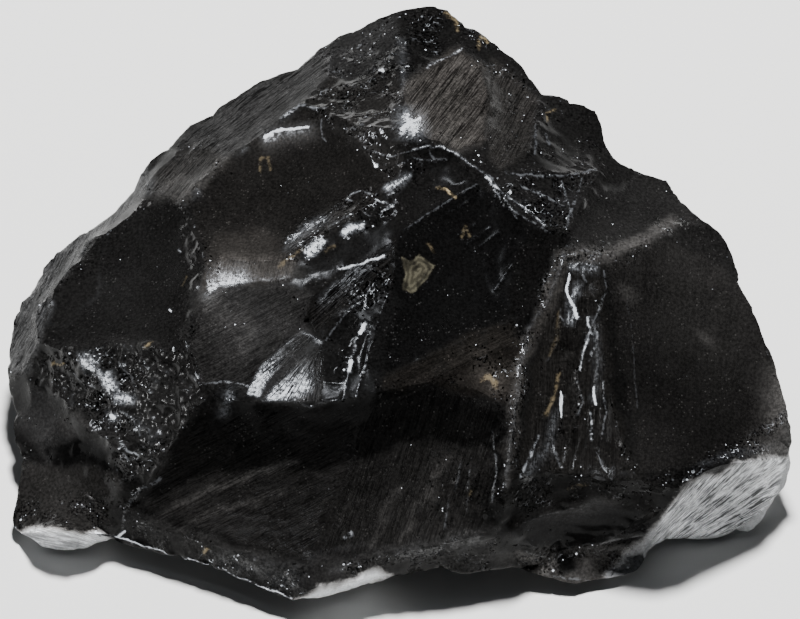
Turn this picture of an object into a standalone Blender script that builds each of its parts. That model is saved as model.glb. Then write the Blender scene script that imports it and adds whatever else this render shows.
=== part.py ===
"""One broken lump of glassy black rock, bounded by hollow conchoidal scars that meet in sharp ridges.

The lump is drawn twice on one outline: the front sheet is every scar seen from the front and above,
and the back sheet is every scar behind and below it, with the flat face it rests on. Each ridge is a
line of corners. The surface between ridges is a membrane stretched over them and pulled inwards, so
that every scar is a smooth hollow and every ridge stays sharp.
"""

import math
import random

import bmesh
import bpy
import numpy as np
from mathutils import noise
from mathutils.geometry import delaunay_2d_cdt

# The drawing grid: steps across and down from its top left corner, looking down from the front.
STEP_M = 0.00018
LOOK_DOWN = math.radians(52)
MIDDLE_ACROSS = 400
MIDDLE_DOWN = 310

# Distances between points, in grid steps.
RIDGE_STEP = 10.0
SCAR_STEP = 13.5
BACK_RIDGE_STEP = 17.0
BACK_SCAR_STEP = 20.0
RIDGE_WANDER = (1.3, 1.3, 1.3)
OUTLINE_WANDER = (0.8, 0.8, 0.8)
RESTING_WANDER = (1.5, 1.5, 0.0)
SWELL = 1.6
SWELL_LENGTH = 70.0
DEFAULT_HOLLOW = 4.0
BACK_HOLLOW_SHARE = 0.075
BACK_ROUGHNESS = 0.8
BOW = 0.08
SHARP_ANGLE = math.radians(22)
SEED = 7

# Corners where ridges meet: (across, down, height above the resting face).
CORNERS = {
    "top": (398, 11, 236),
    "chip": (459, 20, 232),
    "neck": (541, 95, 222),
    "knob": (594, 112, 212),
    "saddle": (603, 153, 204),
    "ear": (666, 181, 196),
    "brow": (701, 220, 190),
    "flank": (739, 282, 174),
    "hip": (774, 361, 142),
    "tail_side": (792, 442, 90),
    "tail": (791, 463, 60),
    "tail_low": (766, 511, 16),
    "under_neck": (656, 545, 12),
    "fold_foot": (628, 575, 12),
    "belly": (575, 585, 14),
    "notch": (520, 568, 26),
    "scoop_foot": (486, 571, 30),
    "sill": (415, 573, 34),
    "keel": (292, 600, 24),
    "front_foot": (196, 562, 30),
    "heel": (107, 542, 22),
    "toe": (20, 534, 14),
    "left_waist": (24, 460, 40),
    "left_lip": (20, 451, 42),
    "left_step": (17, 415, 53),
    "rim_foot": (8, 374, 64),
    "rim_low": (14, 321, 85),
    "rim_side": (43, 268, 110),
    "shoulder_low": (180, 137, 164),
    "shoulder": (200, 121, 171),
    "cap": (333, 42, 213),
    "burst": (412, 128, 285),
    "cap_inner": (328, 75, 228),
    "crush_left": (300, 105, 229),
    "crush_right": (340, 118, 254),
    "slope_foot": (225, 160, 203),
    "row_end": (398, 190, 264),
    "row_start": (280, 262, 225),
    "bump": (205, 262, 203),
    "streak_foot": (182, 200, 194),
    "arc_end": (480, 184, 260),
    "thread_end": (395, 235, 248),
    "knob_left": (520, 168, 260),
    "knob_right": (600, 172, 236),
    "crossing": (566, 240, 244),
    "column_top": (600, 257, 229),
    "spine_bend": (524, 318, 215),
    "spine_wedge": (523, 345, 205),
    "spine_low": (511, 430, 170),
    "nose": (505, 500, 120),
    "wedge_low": (495, 400, 189),
    "crest_start": (185, 345, 186),
    "crest_left": (200, 385, 177),
    "crest_fan": (250, 403, 175),
    "crest_dark": (320, 402, 181),
    "crest_blade": (338, 401, 184),
    "crest_edge": (347, 399, 187),
    "crest_gap": (358, 397, 189),
    "step_left": (208, 289, 198),
    "step_right": (283, 284, 216),
    "crest_mid": (430, 382, 197),
    "fan_top": (300, 333, 204),
    "fan_right": (322, 340, 203),
    "blade_top": (375, 290, 223),
    "blade_back": (384, 306, 221),
    "rim_in_foot": (24, 370, 92),
    "rim_in_low": (38, 341, 118),
    "rim_in_end": (161, 168, 170),
    "toe_in": (32, 402, 78),
    "crush_edge": (118, 450, 112),
    "lens_tip": (120, 460, 104),
    "pocket_right": (110, 470, 88),
    "scoop_left": (128, 510, 64),
    "column_foot": (640, 480, 130),
    "fold_top": (680, 490, 116),
    "fold_mid": (660, 525, 62),
    "oval_left": (515, 530, 82),
    "oval_right": (645, 515, 80),
    "foot_ridge": (498, 534, 80),
}

OUTLINE = [
    "top", (420, 7, 236), (432, 7, 236), (447, 11, 234), "chip", (457, 28, 234), (465, 27, 232),
    (475, 30, 230), (483, 34, 229), (495, 44, 228), (505, 53, 228), (515, 61, 227), (523, 68, 226),
    (530, 78, 224), (537, 89, 222), "neck", (553, 96, 220), (565, 99, 218), (570, 104, 217),
    (584, 107, 214), "knob", (599, 120, 210), (602, 129, 208), (604, 141, 205), (606, 148, 202),
    "saddle", (610, 156, 203), (621, 165, 201), (634, 172, 199), (656, 178, 197), "ear",
    (673, 190, 195), (681, 202, 193), (690, 211, 192), "brow", (710, 226, 188), (720, 233, 186),
    (726, 244, 183), (731, 253, 180), (738, 272, 175), "flank", (742, 290, 172), (749, 303, 167),
    (758, 323, 159), (762, 334, 154), "hip", (780, 384, 128), (786, 405, 115), (790, 423, 104),
    "tail_side", (789, 453, 75), "tail", (787, 478, 42), (784, 488, 32), (775, 499, 23), "tail_low",
    (764, 518, 13), (757, 527, 10), (748, 533, 8), (736, 530, 8), (725, 537, 7), (711, 539, 7),
    (692, 540, 8), (674, 540, 9), (666, 540, 10), "under_neck", (649, 552, 12), (644, 561, 12),
    (637, 571, 12), "fold_foot", (614, 578, 13), (600, 580, 13), (587, 582, 13), "belly",
    (564, 583, 16), (552, 580, 18), (541, 576, 21), "notch", (503, 569, 28), "scoop_foot",
    (463, 575, 32), (451, 572, 34), (442, 568, 35), "sill", (400, 576, 30), (376, 583, 22),
    (361, 586, 20), (343, 592, 18), (329, 596, 19), (311, 599, 20), "keel", (276, 595, 25),
    (258, 587, 26), (239, 579, 28), (225, 572, 29), (211, 567, 30), "front_foot", (180, 556, 29),
    (166, 555, 27), (152, 551, 26), (132, 547, 25), (111, 540, 24), "heel", (96, 545, 14),
    (86, 550, 10), (71, 552, 8), (57, 550, 8), (41, 547, 9), (31, 540, 12), "toe", (15, 530, 15),
    (12, 524, 16), (13, 514, 18), (16, 503, 22), (18, 492, 26), (20, 483, 30), (22, 471, 35),
    "left_waist", "left_lip", (16, 440, 46), (14, 431, 49), (14, 422, 51), "left_step",
    (14, 408, 55), (11, 397, 57), (8, 383, 61), "rim_foot", (9, 364, 68), (11, 350, 73),
    (12, 336, 79), "rim_low", (19, 311, 89), (21, 302, 93), (29, 295, 97), (37, 282, 104),
    (42, 275, 108), "rim_side", (50, 261, 113), (62, 248, 118), (73, 240, 121), (79, 235, 122),
    (86, 233, 123), (96, 227, 126), (107, 218, 130), (116, 211, 134), (125, 201, 139),
    (134, 191, 143), (139, 180, 147), (144, 170, 151), (150, 161, 154), (168, 150, 159),
    (172, 145, 161), "shoulder_low", (190, 126, 168), "shoulder", (213, 116, 174), (220, 107, 177),
    (232, 100, 181), (245, 92, 185), (260, 83, 189), (270, 79, 192), (287, 72, 197), (298, 69, 200),
    (307, 61, 203), (320, 49, 208), "cap", (337, 38, 215), (345, 34, 218), (360, 28, 224),
    (380, 19, 230),
]

# Ridges of the front sheet.
FRONT_RIDGES = {
    "crest": ["top", (400, 40, 246), (397, 60, 252), (402, 80, 262), (405, 100, 272), "burst"],
    "cap seam": ["cap", "cap_inner", "crush_left"],
    "cap ledge": ["cap_inner", (350, 88, 241), (378, 75, 246), (397, 60, 252)],
    "thin chip": [(447, 11, 234), (448, 20, 238), (457, 28, 234)],
    "bright line": [(402, 80, 262), (427, 68, 251), (462, 50, 240), (495, 44, 228)],
    "right rib": [(462, 50, 240), (480, 66, 240), (490, 100, 250), (484, 140, 262), "arc_end"],
    "knob left": ["neck", (540, 125, 240), (530, 148, 252), "knob_left"],
    "knob sill": ["knob_left", (545, 173, 256), (575, 175, 247), "knob_right", "saddle"],
    "arc": ["burst", (425, 137, 283), (440, 141, 281), (455, 155, 273), (470, 175, 264), "arc_end"],
    "knob root": ["arc_end", (500, 172, 262), "knob_left"],
    "crush line": ["arc_end", (510, 205, 258), (545, 226, 250), "crossing"],
    "crush right": ["knob_right", (590, 190, 241), (577, 212, 246), "crossing"],
    "crush rib": [(500, 172, 262), (516, 190, 262), (532, 206, 254)],
    "slope foot": [
        "crush_left", (282, 118, 222), (262, 135, 215), (240, 150, 208), "slope_foot",
        (203, 149, 190), "shoulder_low",
    ],
    "crush arc": ["crush_left", (320, 107, 243), "crush_right", (365, 128, 269), "burst"],
    "crush inner": ["crush_right", (358, 142, 264), (377, 166, 262), "row_end"],
    "burst drop": ["burst", (403, 158, 276), "row_end", (398, 214, 256), "thread_end"],
    "thread": ["thread_end", (418, 220, 252), (440, 204, 257), (462, 193, 259), "arc_end"],
    "glint row": [
        "row_end", (370, 205, 257), (345, 223, 250), (320, 235, 243), (298, 246, 235), "row_start",
        (262, 262, 219), (236, 261, 211), (220, 258, 207), "bump",
    ],
    "row foot": [
        "row_start", (303, 261, 228), (324, 253, 235), (346, 241, 242), (370, 228, 248),
        (398, 214, 256),
    ],
    "silver step": [
        "row_start", "step_right", (262, 281, 208), (240, 283, 202), (222, 285, 198), "step_left",
    ],
    "streak": ["slope_foot", (204, 178, 203), "streak_foot", (194, 235, 200), "bump"],
    "streak side": ["streak_foot", (164, 196, 180), (146, 186, 164)],
    "left scar side": ["bump", (201, 276, 201), "step_left", (194, 312, 193), "crest_start"],
    "rim": [
        "rim_foot", "rim_in_foot", "rim_in_low", (36, 322, 122), (38, 305, 128), (52, 298, 134),
        (59, 282, 140), (68, 271, 144), (80, 261, 150), (84, 246, 140), (93, 238, 143),
        (107, 234, 150), (116, 227, 152), (132, 216, 160), (143, 200, 164), (146, 186, 164),
        "rim_in_end", (176, 156, 176), "shoulder_low",
    ],
    "left sill": ["rim_in_low", (60, 350, 131), (95, 347, 147), (125, 344, 160), (160, 350, 174),
                  "crest_start"],
    "rim toe": ["rim_in_foot", (30, 388, 88), "toe_in", (28, 411, 66), "left_step"],
    "crush top": ["toe_in", (45, 386, 94), (65, 400, 106), (80, 425, 106), (100, 436, 110),
                  "crush_edge"],
    "smooth foot": ["lens_tip", (105, 455, 97), (85, 445, 89), (60, 440, 77), (36, 441, 60),
                    "left_lip"],
    "lens foot": ["left_waist", (42, 458, 52), (62, 460, 64), (88, 465, 78), "pocket_right"],
    "lens side": ["crush_edge", "lens_tip", "pocket_right"],
    "pocket side": ["pocket_right", (118, 490, 82), (119, 510, 62), (113, 527, 42), "heel"],
    "white lens": ["toe", (36, 533, 40), (54, 530, 54), (70, 529, 58), (96, 534, 44), "heel"],
    "crush glints": [(60, 350, 131), (86, 362, 142), (102, 377, 138), (116, 398, 130),
                     (132, 404, 134), (158, 398, 150), "crest_left"],
    "crush lower": [(116, 398, 130), (128, 424, 122), (150, 436, 128), (172, 444, 130)],
    "scoop side": ["crest_left", (189, 420, 152), (172, 444, 130), (146, 484, 94), "scoop_left",
                   (119, 527, 42), (111, 540, 24)],
    "scoop crest": [
        "crest_start", "crest_left", (222, 399, 174), "crest_fan", (276, 400, 177), (300, 403, 179),
        "crest_dark", "crest_blade", "crest_edge", "crest_gap", (392, 390, 192), "crest_mid",
        (452, 382, 197), (470, 388, 194), "wedge_low", "spine_low",
    ],
    "hackle ridge": ["thread_end", (380, 255, 240), (346, 270, 231), (308, 300, 217), "fan_top"],
    "fan edge": ["fan_top", (285, 341, 200), (262, 375, 184), (254, 388, 179), "crest_fan"],
    "fan side": ["fan_top", "fan_right", (321, 370, 192), "crest_dark"],
    "blade line": ["fan_right", (332, 321, 208), (347, 311, 213), "blade_top", "blade_back"],
    "blade front": ["blade_top", (359, 320, 212), (348, 348, 203), (342, 376, 193), "crest_blade"],
    "blade edge": ["blade_top", (373, 318, 215), (365, 342, 206), (356, 369, 196), "crest_edge"],
    "blade back": ["blade_back", (376, 330, 213), (368, 360, 202), "crest_gap"],
    "pit side": ["thread_end", (397, 262, 240), (392, 285, 231), "blade_back"],
    "pit foot": ["crest_gap", (386, 380, 195), (420, 361, 202), (470, 339, 209), "spine_bend"],
    "wedge top": ["crest_mid", (442, 375, 200), (472, 359, 205), (500, 346, 209), "spine_wedge"],
    "spine": [
        "crossing", (560, 262, 236), (545, 291, 226), "spine_bend", "spine_wedge", (519, 366, 197),
        (516, 400, 184), "spine_low", (510, 452, 157), (513, 480, 137), "nose", "foot_ridge",
        "scoop_foot",
    ],
    "wedge side": ["wedge_low", (516, 400, 184)],
    "column head": ["crossing", (580, 254, 238), "column_top"],
    "right ridge": ["column_top", (620, 252, 222), (640, 245, 218), (656, 235, 213),
                    (674, 225, 206), "brow"],
    "column right": ["column_top", (598, 290, 217), (600, 330, 199), (606, 372, 176),
                     (613, 410, 156), (624, 448, 140), "column_foot"],
    "column foot": ["nose", (525, 478, 132), (545, 472, 123), (578, 476, 118), (610, 482, 122),
                    "column_foot", (660, 488, 123), "fold_top"],
    "flute left": [(580, 254, 238), (577, 285, 221), (575, 322, 203), (562, 360, 178),
                   (550, 400, 156), (545, 435, 140), (525, 478, 132)],
    "flute right": [(598, 290, 217), (590, 320, 203), (586, 345, 189), (580, 382, 167),
                    (579, 420, 146), (568, 448, 130), (545, 472, 123)],
    "fold": ["fold_top", (695, 478, 120), (715, 468, 120), (740, 463, 112), (764, 461, 100),
             "tail"],
    "fold side": ["fold_top", (668, 510, 88), "fold_mid", (646, 542, 30), (640, 560, 9),
                  "fold_foot"],
    "oval": [
        "oval_left", (535, 516, 83), (560, 505, 83), (600, 496, 97), (632, 502, 94),
        "oval_right", (624, 532, 58), (600, 545, 40), (560, 549, 31), (532, 546, 55), "oval_left",
    ],
    "oval right": ["oval_right", "fold_mid"],
    "oval foot": ["foot_ridge", "oval_left"],
    "crush band": ["scoop_left", (168, 532, 54), (220, 547, 56), (258, 562, 54), (296, 572, 54),
                   (350, 566, 62), (400, 554, 72), (440, 545, 78), (470, 538, 82), "foot_ridge"],
    "bottom sliver": ["keel", (301, 594, 36), (317, 588, 46), (340, 584, 52), (363, 579, 52),
                      (379, 576, 46), "sill"],
    "skirt rib": [(600, 545, 40), (620, 556, 20), (640, 560, 9)],
    "skirt left": [(560, 549, 31), (556, 562, 27), "notch"],
}

# Scars of the front sheet: a point inside, how deep the hollow is, how rough its floor is.
FRONT_SCARS = {
    "rim": ((22, 340), 2, 0.3),
    "rim toe": ((18, 390), 1, 0.0),
    "left scar": ((120, 290), 13, 0.0),
    "striated edge": ((170, 178), 3, 0.5),
    "hackled slope": ((255, 110), 5, 0.0),
    "cap": ((360, 55), 4, 0.5),
    "under cap": ((350, 103), 5, 0.9),
    "crushed corner": ((385, 145), 3, 0.9),
    "great scar": ((300, 180), 15, 0.0),
    "top right": ((430, 40), 3, 0.3),
    "brown hackles": ((445, 100), 5, 0.0),
    "right flank": ((505, 100), 7, 0.2),
    "knob": ((570, 135), 7, 0.3),
    "crushed knot": ((550, 200), 4, 1.3),
    "black cup": ((435, 170), 12, 0.0),
    "pit": ((480, 270), 12, 0.0),
    "bright hackles": ((345, 290), 4, 0.0),
    "silver step": ((240, 272), 2, 0.0),
    "glint bevel": ((330, 242), 1, 0.2),
    "silver floor": ((250, 330), 8, 0.2),
    "fan": ((295, 370), 4, 0.0),
    "dark triangle": ((340, 350), 7, 0.0),
    "blade": ((352, 367), 1, 0.0),
    "blade back": ((361, 367), 1, 0.0),
    "under pit": ((440, 365), 3, 0.2),
    "wedge": ((500, 370), 5, 0.3),
    "scoop": ((320, 470), 14, 0.0),
    "crush band": ((250, 572), 3, 1.0),
    "bottom sliver": ((345, 588), 1, 0.0),
    "flute one": ((540, 350), 5, 0.2),
    "flute two": ((570, 400), 6, 0.2),
    "flute three": ((598, 400), 4, 0.3),
    "ear": ((630, 205), 8, 0.0),
    "great right": ((690, 350), 9, 0.0),
    "white fold": ((720, 500), 5, 0.2),
    "oval": ((585, 522), 7, 0.0),
    "shelf": ((580, 490), 5, 0.5),
    "skirt": ((600, 565), 4, 0.6),
    "pocket": ((70, 495), 8, 0.2),
    "white lens": ((65, 540), 1, 0.0),
    "dark lens": ((60, 450), 3, 0.0),
    "smooth foot": ((60, 420), 4, 0.0),
    "left crush": ((90, 385), 4, 1.2),
    "left crush top": ((140, 375), 4, 1.0),
    "left chain": ((135, 470), 4, 0.8),
}

# Corners of the resting face in plan: steps right of the drawing's left side, and back of its middle.
RESTING_FACE = [
    (62, -254), (112, -282), (178, -292), (290, -332), (372, -318), (436, -300), (520, -306),
    (590, -312), (650, -268), (704, -256), (738, -196), (726, -110), (694, -30), (610, 60),
    (520, 140), (410, 214), (330, 190), (236, 140), (150, 64), (92, -10), (64, -110), (54, -190),
]

# The bulge low on the back, from the left side round to the right: (right, back, height).
BULGE = [
    (26, -62, 45), (76, 0, 48), (120, 62, 58), (185, 130, 62), (240, 172, 66), (300, 222, 55),
    (350, 244, 72), (420, 254, 78), (480, 232, 66), (530, 190, 60), (590, 122, 72), (636, 70, 60),
    (680, 34, 72), (710, -22, 60), (738, -90, 56), (757, -152, 45),
]

# Corners half way up the back wall, in the same order.
WALL = [
    (70, -2, 86), (150, 78, 112), (224, 128, 140), (302, 174, 138), (372, 218, 150),
    (442, 212, 152), (512, 170, 148), (562, 128, 150), (620, 52, 142), (668, 20, 136),
    (718, -46, 140), (746, -104, 104), (764, -156, 70),
]

# Ridges of the back sheet, by place in those lists. From a corner of the outline to the wall:
OUTLINE_TO_WALL = [
    ("rim_side", 0), ((96, 227, 126), 0), ((134, 191, 143), 1), ("shoulder", 2), ((260, 83, 189), 3),
    ("cap", 3), ("top", 4), ((432, 7, 236), 5), ((495, 44, 228), 6), ("neck", 7), ("knob", 7),
    ((621, 165, 201), 8), ("ear", 9), ("brow", 9), ("flank", 10), ((758, 323, 159), 11), ("hip", 12),
    ("tail_side", 12),
]
WALL_TO_BULGE = [
    (0, 0), (0, 1), (1, 2), (1, 3), (2, 3), (2, 4), (3, 5), (4, 6), (4, 7), (5, 7), (5, 8), (6, 9),
    (7, 10), (8, 11), (9, 12), (10, 13), (11, 14), (12, 15),
]
WALL_TO_WALL = [(2, 3), (4, 5), (6, 7), (9, 10)]
BULGE_TO_REST = [
    (0, 20), (1, 19), (3, 18), (5, 16), (7, 15), (9, 14), (11, 13), (13, 12), (14, 11), (15, 10),
]
OUTLINE_TO_REST = [
    ("tail_low", 9), ("under_neck", 8), ("belly", 7), ("notch", 6), ("sill", 5), ("keel", 3),
    ("front_foot", 2), ("heel", 1), ("toe", 0), ("left_waist", 21), ("left_step", 20),
]


def clear_scene():
    for item in list(bpy.data.objects):
        bpy.data.objects.remove(item)


def placed(across, down, height):
    """The place in grid steps, right, back and up, of a point of the drawing at that height."""
    up = MIDDLE_DOWN - down
    back = up / math.sin(LOOK_DOWN) - height / math.tan(LOOK_DOWN)
    return np.array([across - MIDDLE_ACROSS, back, height], float)


def in_plan(right, back, height=0.0):
    return np.array([right - MIDDLE_ACROSS, back, height], float)


def on_drawing(points):
    """Where places in space are seen on the drawing, with up positive."""
    points = np.asarray(points)
    up = points[:, 1] * math.sin(LOOK_DOWN) + points[:, 2] * math.cos(LOOK_DOWN)
    return np.column_stack([points[:, 0], up])


def corner(name_or_point):
    if isinstance(name_or_point, str):
        return placed(*CORNERS[name_or_point])
    return placed(*name_or_point)


class Points:
    """Every vertex of the lump once, in grid steps."""

    def __init__(self):
        self.places = []
        self.known = {}

    def add(self, place):
        key = tuple(np.round(place, 2))
        if key not in self.known:
            self.known[key] = len(self.places)
            self.places.append(np.array(place, float))
        return self.known[key]

    def line(self, corners, step, wander, luck):
        """The corners joined by points about a step apart, each a little off the straight."""
        ids = [self.add(corners[0])]
        for start, end in zip(corners[:-1], corners[1:]):
            pieces = max(1, round(float(np.linalg.norm(end - start)) / step))
            for i in range(1, pieces):
                aside = np.array([luck.uniform(-reach, reach) for reach in wander])
                ids.append(self.add(start + (end - start) * i / pieces + aside))
            ids.append(self.add(end))
        return list(zip(ids[:-1], ids[1:]))


def inside(points, starts, ends):
    """Which points lie inside the closed lines that run from starts to ends, by even and odd crossings."""
    x = points[:, 0][:, None]
    y = points[:, 1][:, None]
    crosses = (starts[:, 1] > y) != (ends[:, 1] > y)
    rise = np.where(ends[:, 1] == starts[:, 1], 1e-12, ends[:, 1] - starts[:, 1])
    at = starts[:, 0] + (y - starts[:, 1]) * (ends[:, 0] - starts[:, 0]) / rise
    return (crosses & (x < at)).sum(axis=1) % 2 == 1


def triangulated(flat, edges):
    """Triangles over flat points that keep every edge given."""
    made = delaunay_2d_cdt([tuple(p) for p in flat], edges, [], 0, 1e-7)
    if len(made[0]) != len(flat):
        crossing = [tuple(np.round(p, 1)) for p, was in zip(made[0], made[3]) if not was]
        raise ValueError(f"ridges cross or meet without a corner near {crossing}")
    names = [was[0] for was in made[3]]
    return np.array([[names[i] for i in face] for face in made[2]])


def face_edges(faces):
    return np.sort(np.concatenate([faces[:, [0, 1]], faces[:, [1, 2]], faces[:, [2, 0]]]), axis=1)


def split_scars(places, outline, ridges):
    """The triangles of a sheet's ridge lines, in groups that no ridge crosses."""
    edges = sorted({tuple(sorted(edge)) for edge in outline + ridges})
    ids = sorted({i for edge in edges for i in edge})
    local = {i: n for n, i in enumerate(ids)}
    flat = on_drawing(places[ids])
    faces = triangulated(flat, [(local[a], local[b]) for a, b in edges])
    rim = np.array([(local[a], local[b]) for a, b in outline])
    faces = faces[inside(flat[faces].mean(axis=1), flat[rim[:, 0]], flat[rim[:, 1]])]
    walls = {(local[a], local[b]) for a, b in edges} | {(local[b], local[a]) for a, b in edges}
    owners = {}
    for n, face in enumerate(faces):
        for a, b in zip(face, np.roll(face, -1)):
            owners.setdefault((min(a, b), max(a, b)), []).append(n)
    group = np.arange(len(faces))

    def root(n):
        while group[n] != n:
            n = group[n]
        return n

    for edge, sides in owners.items():
        if edge not in walls and len(sides) == 2:
            group[root(sides[0])] = root(sides[1])
    roots = np.array([root(n) for n in range(len(faces))])
    names = np.array(ids)
    scars = [names[faces[roots == r]] for r in sorted(set(roots))]
    return scars, {tuple(sorted(edge)) for edge in edges}


def holds(places, scar, spot):
    """Whether a scar's triangles cover a point of the drawing."""
    flat = on_drawing(places[scar.reshape(-1)]).reshape(-1, 3, 2)
    ends = np.roll(flat, -1, axis=1)
    across = (ends[..., 0] - flat[..., 0]) * (spot[1] - flat[..., 1])
    along = (ends[..., 1] - flat[..., 1]) * (spot[0] - flat[..., 0])
    turn = across - along
    return bool(((turn >= 0).all(axis=1) | (turn <= 0).all(axis=1)).any())


def floor_points(flat, starts, ends, step, luck):
    """Points a step apart inside a scar, clear of its ridges."""
    low = flat.min(axis=0)
    high = flat.max(axis=0)
    found = []
    for row in range(int((high[1] - low[1]) / (step * 0.866)) + 2):
        for column in range(int((high[0] - low[0]) / step) + 2):
            x = low[0] + (column + 0.5 * (row % 2)) * step + luck.uniform(-0.16, 0.16) * step
            y = low[1] + row * 0.866 * step + luck.uniform(-0.16, 0.16) * step
            found.append((x, y))
    found = np.array(found)
    found = found[inside(found, starts, ends)]
    if not len(found):
        return found
    away = np.linalg.norm(found[:, None] - flat[None], axis=2).min(axis=1)
    return found[away > 0.62 * step]


def stiffness(flat, faces):
    """How strongly each pair of points of a flat membrane pulls together, and the area each carries."""
    pull = np.zeros((len(flat), len(flat)))
    area = np.zeros(len(flat))
    corners = flat[faces]
    double = np.abs(np.cross(corners[:, 1] - corners[:, 0], corners[:, 2] - corners[:, 0]))
    for i in range(3):
        a = faces[:, (i + 1) % 3]
        b = faces[:, (i + 2) % 3]
        to_a = flat[a] - flat[faces[:, i]]
        to_b = flat[b] - flat[faces[:, i]]
        weight = 0.5 * (to_a * to_b).sum(axis=1) / np.maximum(double, 1e-9)
        np.add.at(pull, (a, b), -weight)
        np.add.at(pull, (b, a), -weight)
        np.add.at(pull, (a, a), weight)
        np.add.at(pull, (b, b), weight)
        np.add.at(area, faces[:, i], double / 6)
    return pull, area


def mean_normal(places, scar, outward):
    drawn = places[scar]
    normal = np.cross(drawn[:, 1] - drawn[:, 0], drawn[:, 2] - drawn[:, 0])
    normal *= np.sign(normal @ outward)[:, None]
    normal = normal.sum(axis=0)
    return normal / np.linalg.norm(normal)


def area_of(places, scar):
    drawn = places[scar]
    spans = np.cross(drawn[:, 1] - drawn[:, 0], drawn[:, 2] - drawn[:, 0])
    return 0.5 * np.linalg.norm(spans, axis=1).sum()


def dress_scar(points, scar, walls, rim, outward, hollow, roughness, step, luck):
    """A scar's triangles, worked out in its own plane, or in the drawing's where its ridges overlap there."""
    places = np.array(points.places)
    normal = mean_normal(places, scar, outward)
    for leaning in (normal, normal + outward, outward):
        try:
            across = leaning / np.linalg.norm(leaning)
            return membrane(points, places, scar, walls, rim, across, hollow, roughness, step, luck)
        except ValueError as crossed:
            failed = crossed
    raise failed


def short_cuts(faces, kept, on_rim):
    """Edges that join two points of the outline without being part of it or of a ridge."""
    edges = {tuple(edge) for edge in face_edges(faces)}
    return sorted(e for e in edges - kept if e[0] in on_rim and e[1] in on_rim)


def membrane(points, places, scar, walls, rim, normal, hollow, roughness, step, luck):
    """Stretches a membrane over a scar's ridges, pulls it in by the hollow, and returns its triangles."""
    side = np.cross((0.0, 0.3, 1.0), normal)
    side /= np.linalg.norm(side)
    up = np.cross(normal, side)

    ids = sorted(set(scar.reshape(-1)))
    local = {i: n for n, i in enumerate(ids)}
    middle = places[ids].mean(axis=0)
    flat = np.column_stack([(places[ids] - middle) @ side, (places[ids] - middle) @ up])
    lift = (places[ids] - middle) @ normal

    counted, times = np.unique(face_edges(scar), axis=0, return_counts=True)
    border = np.array([[local[a], local[b]] for a, b in counted[times == 1]])
    kept = {tuple(sorted((local[a], local[b]))) for a, b in counted if (a, b) in walls}
    starts, ends = flat[border[:, 0]], flat[border[:, 1]]
    on_rim = {local[i] for i in ids if i in rim}
    grid = floor_points(flat, starts, ends, step, luck) if hollow else np.zeros((0, 2))
    grid = grid.reshape(-1, 2)
    for _ in range(3):
        every = np.concatenate([flat, grid])
        faces = triangulated(every, sorted(kept))
        faces = faces[inside(every[faces].mean(axis=1), starts, ends)]
        cuts = short_cuts(faces, kept, on_rim)
        if not cuts:
            break
        # The two sheets would share such an edge, so each bows out a little at its middle.
        halves = np.array(cuts)
        span = np.linalg.norm(flat[halves[:, 0]] - flat[halves[:, 1]], axis=1)
        bowed = lift[halves].mean(axis=1) + BOW * span
        flat = np.concatenate([flat, flat[halves].mean(axis=1)])
        lift = np.concatenate([lift, bowed])
        middles = middle + flat[-len(cuts):, :1] * side + flat[-len(cuts):, 1:] * up
        ids = ids + [points.add(p) for p in middles + bowed[:, None] * normal]

    if len(grid):
        fixed = len(flat)
        pull, area = stiffness(every, faces)
        free = pull[fixed:, fixed:]
        level = np.linalg.solve(free, -pull[fixed:, :fixed] @ lift)
        bowl = np.linalg.solve(free, area[fixed:])
        shape = bowl / bowl.max()
        swell = np.array([noise.noise(((x + middle[0]) / SWELL_LENGTH, y / SWELL_LENGTH, middle[2]))
                          for x, y in grid])
        grit = np.array([luck.uniform(-1, 1) for _ in grid])
        depth = hollow * shape - SWELL * swell * np.sqrt(shape) - roughness * 1.6 * grit
        floor = middle + grid[:, :1] * side + grid[:, 1:] * up + (level - depth)[:, None] * normal
        ids = ids + [points.add(place) for place in floor]
    return np.array(ids)[faces]


def scar_settings(places, scar):
    """The hollow and roughness given for the front scar that holds one of the named spots."""
    for name, (spot, hollow, roughness) in FRONT_SCARS.items():
        on_sheet = (spot[0] - MIDDLE_ACROSS, MIDDLE_DOWN - spot[1])
        if holds(places, scar, on_sheet):
            return hollow, roughness
    return DEFAULT_HOLLOW, 0.5


def front_sheet(points, outline, luck):
    ridges = []
    rim = {i for edge in outline for i in edge}
    for corners in FRONT_RIDGES.values():
        ridges += points.line([corner(c) for c in corners], RIDGE_STEP, RIDGE_WANDER, luck)
    places = np.array(points.places)
    scars, walls = split_scars(places, outline, ridges)
    towards = np.array([0.0, -math.cos(LOOK_DOWN), math.sin(LOOK_DOWN)])
    faces = []
    for scar in scars:
        hollow, roughness = scar_settings(places, scar)
        faces.append(dress_scar(points, scar, walls, rim, towards, hollow, roughness,
                                SCAR_STEP, luck))
    return faces


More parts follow.
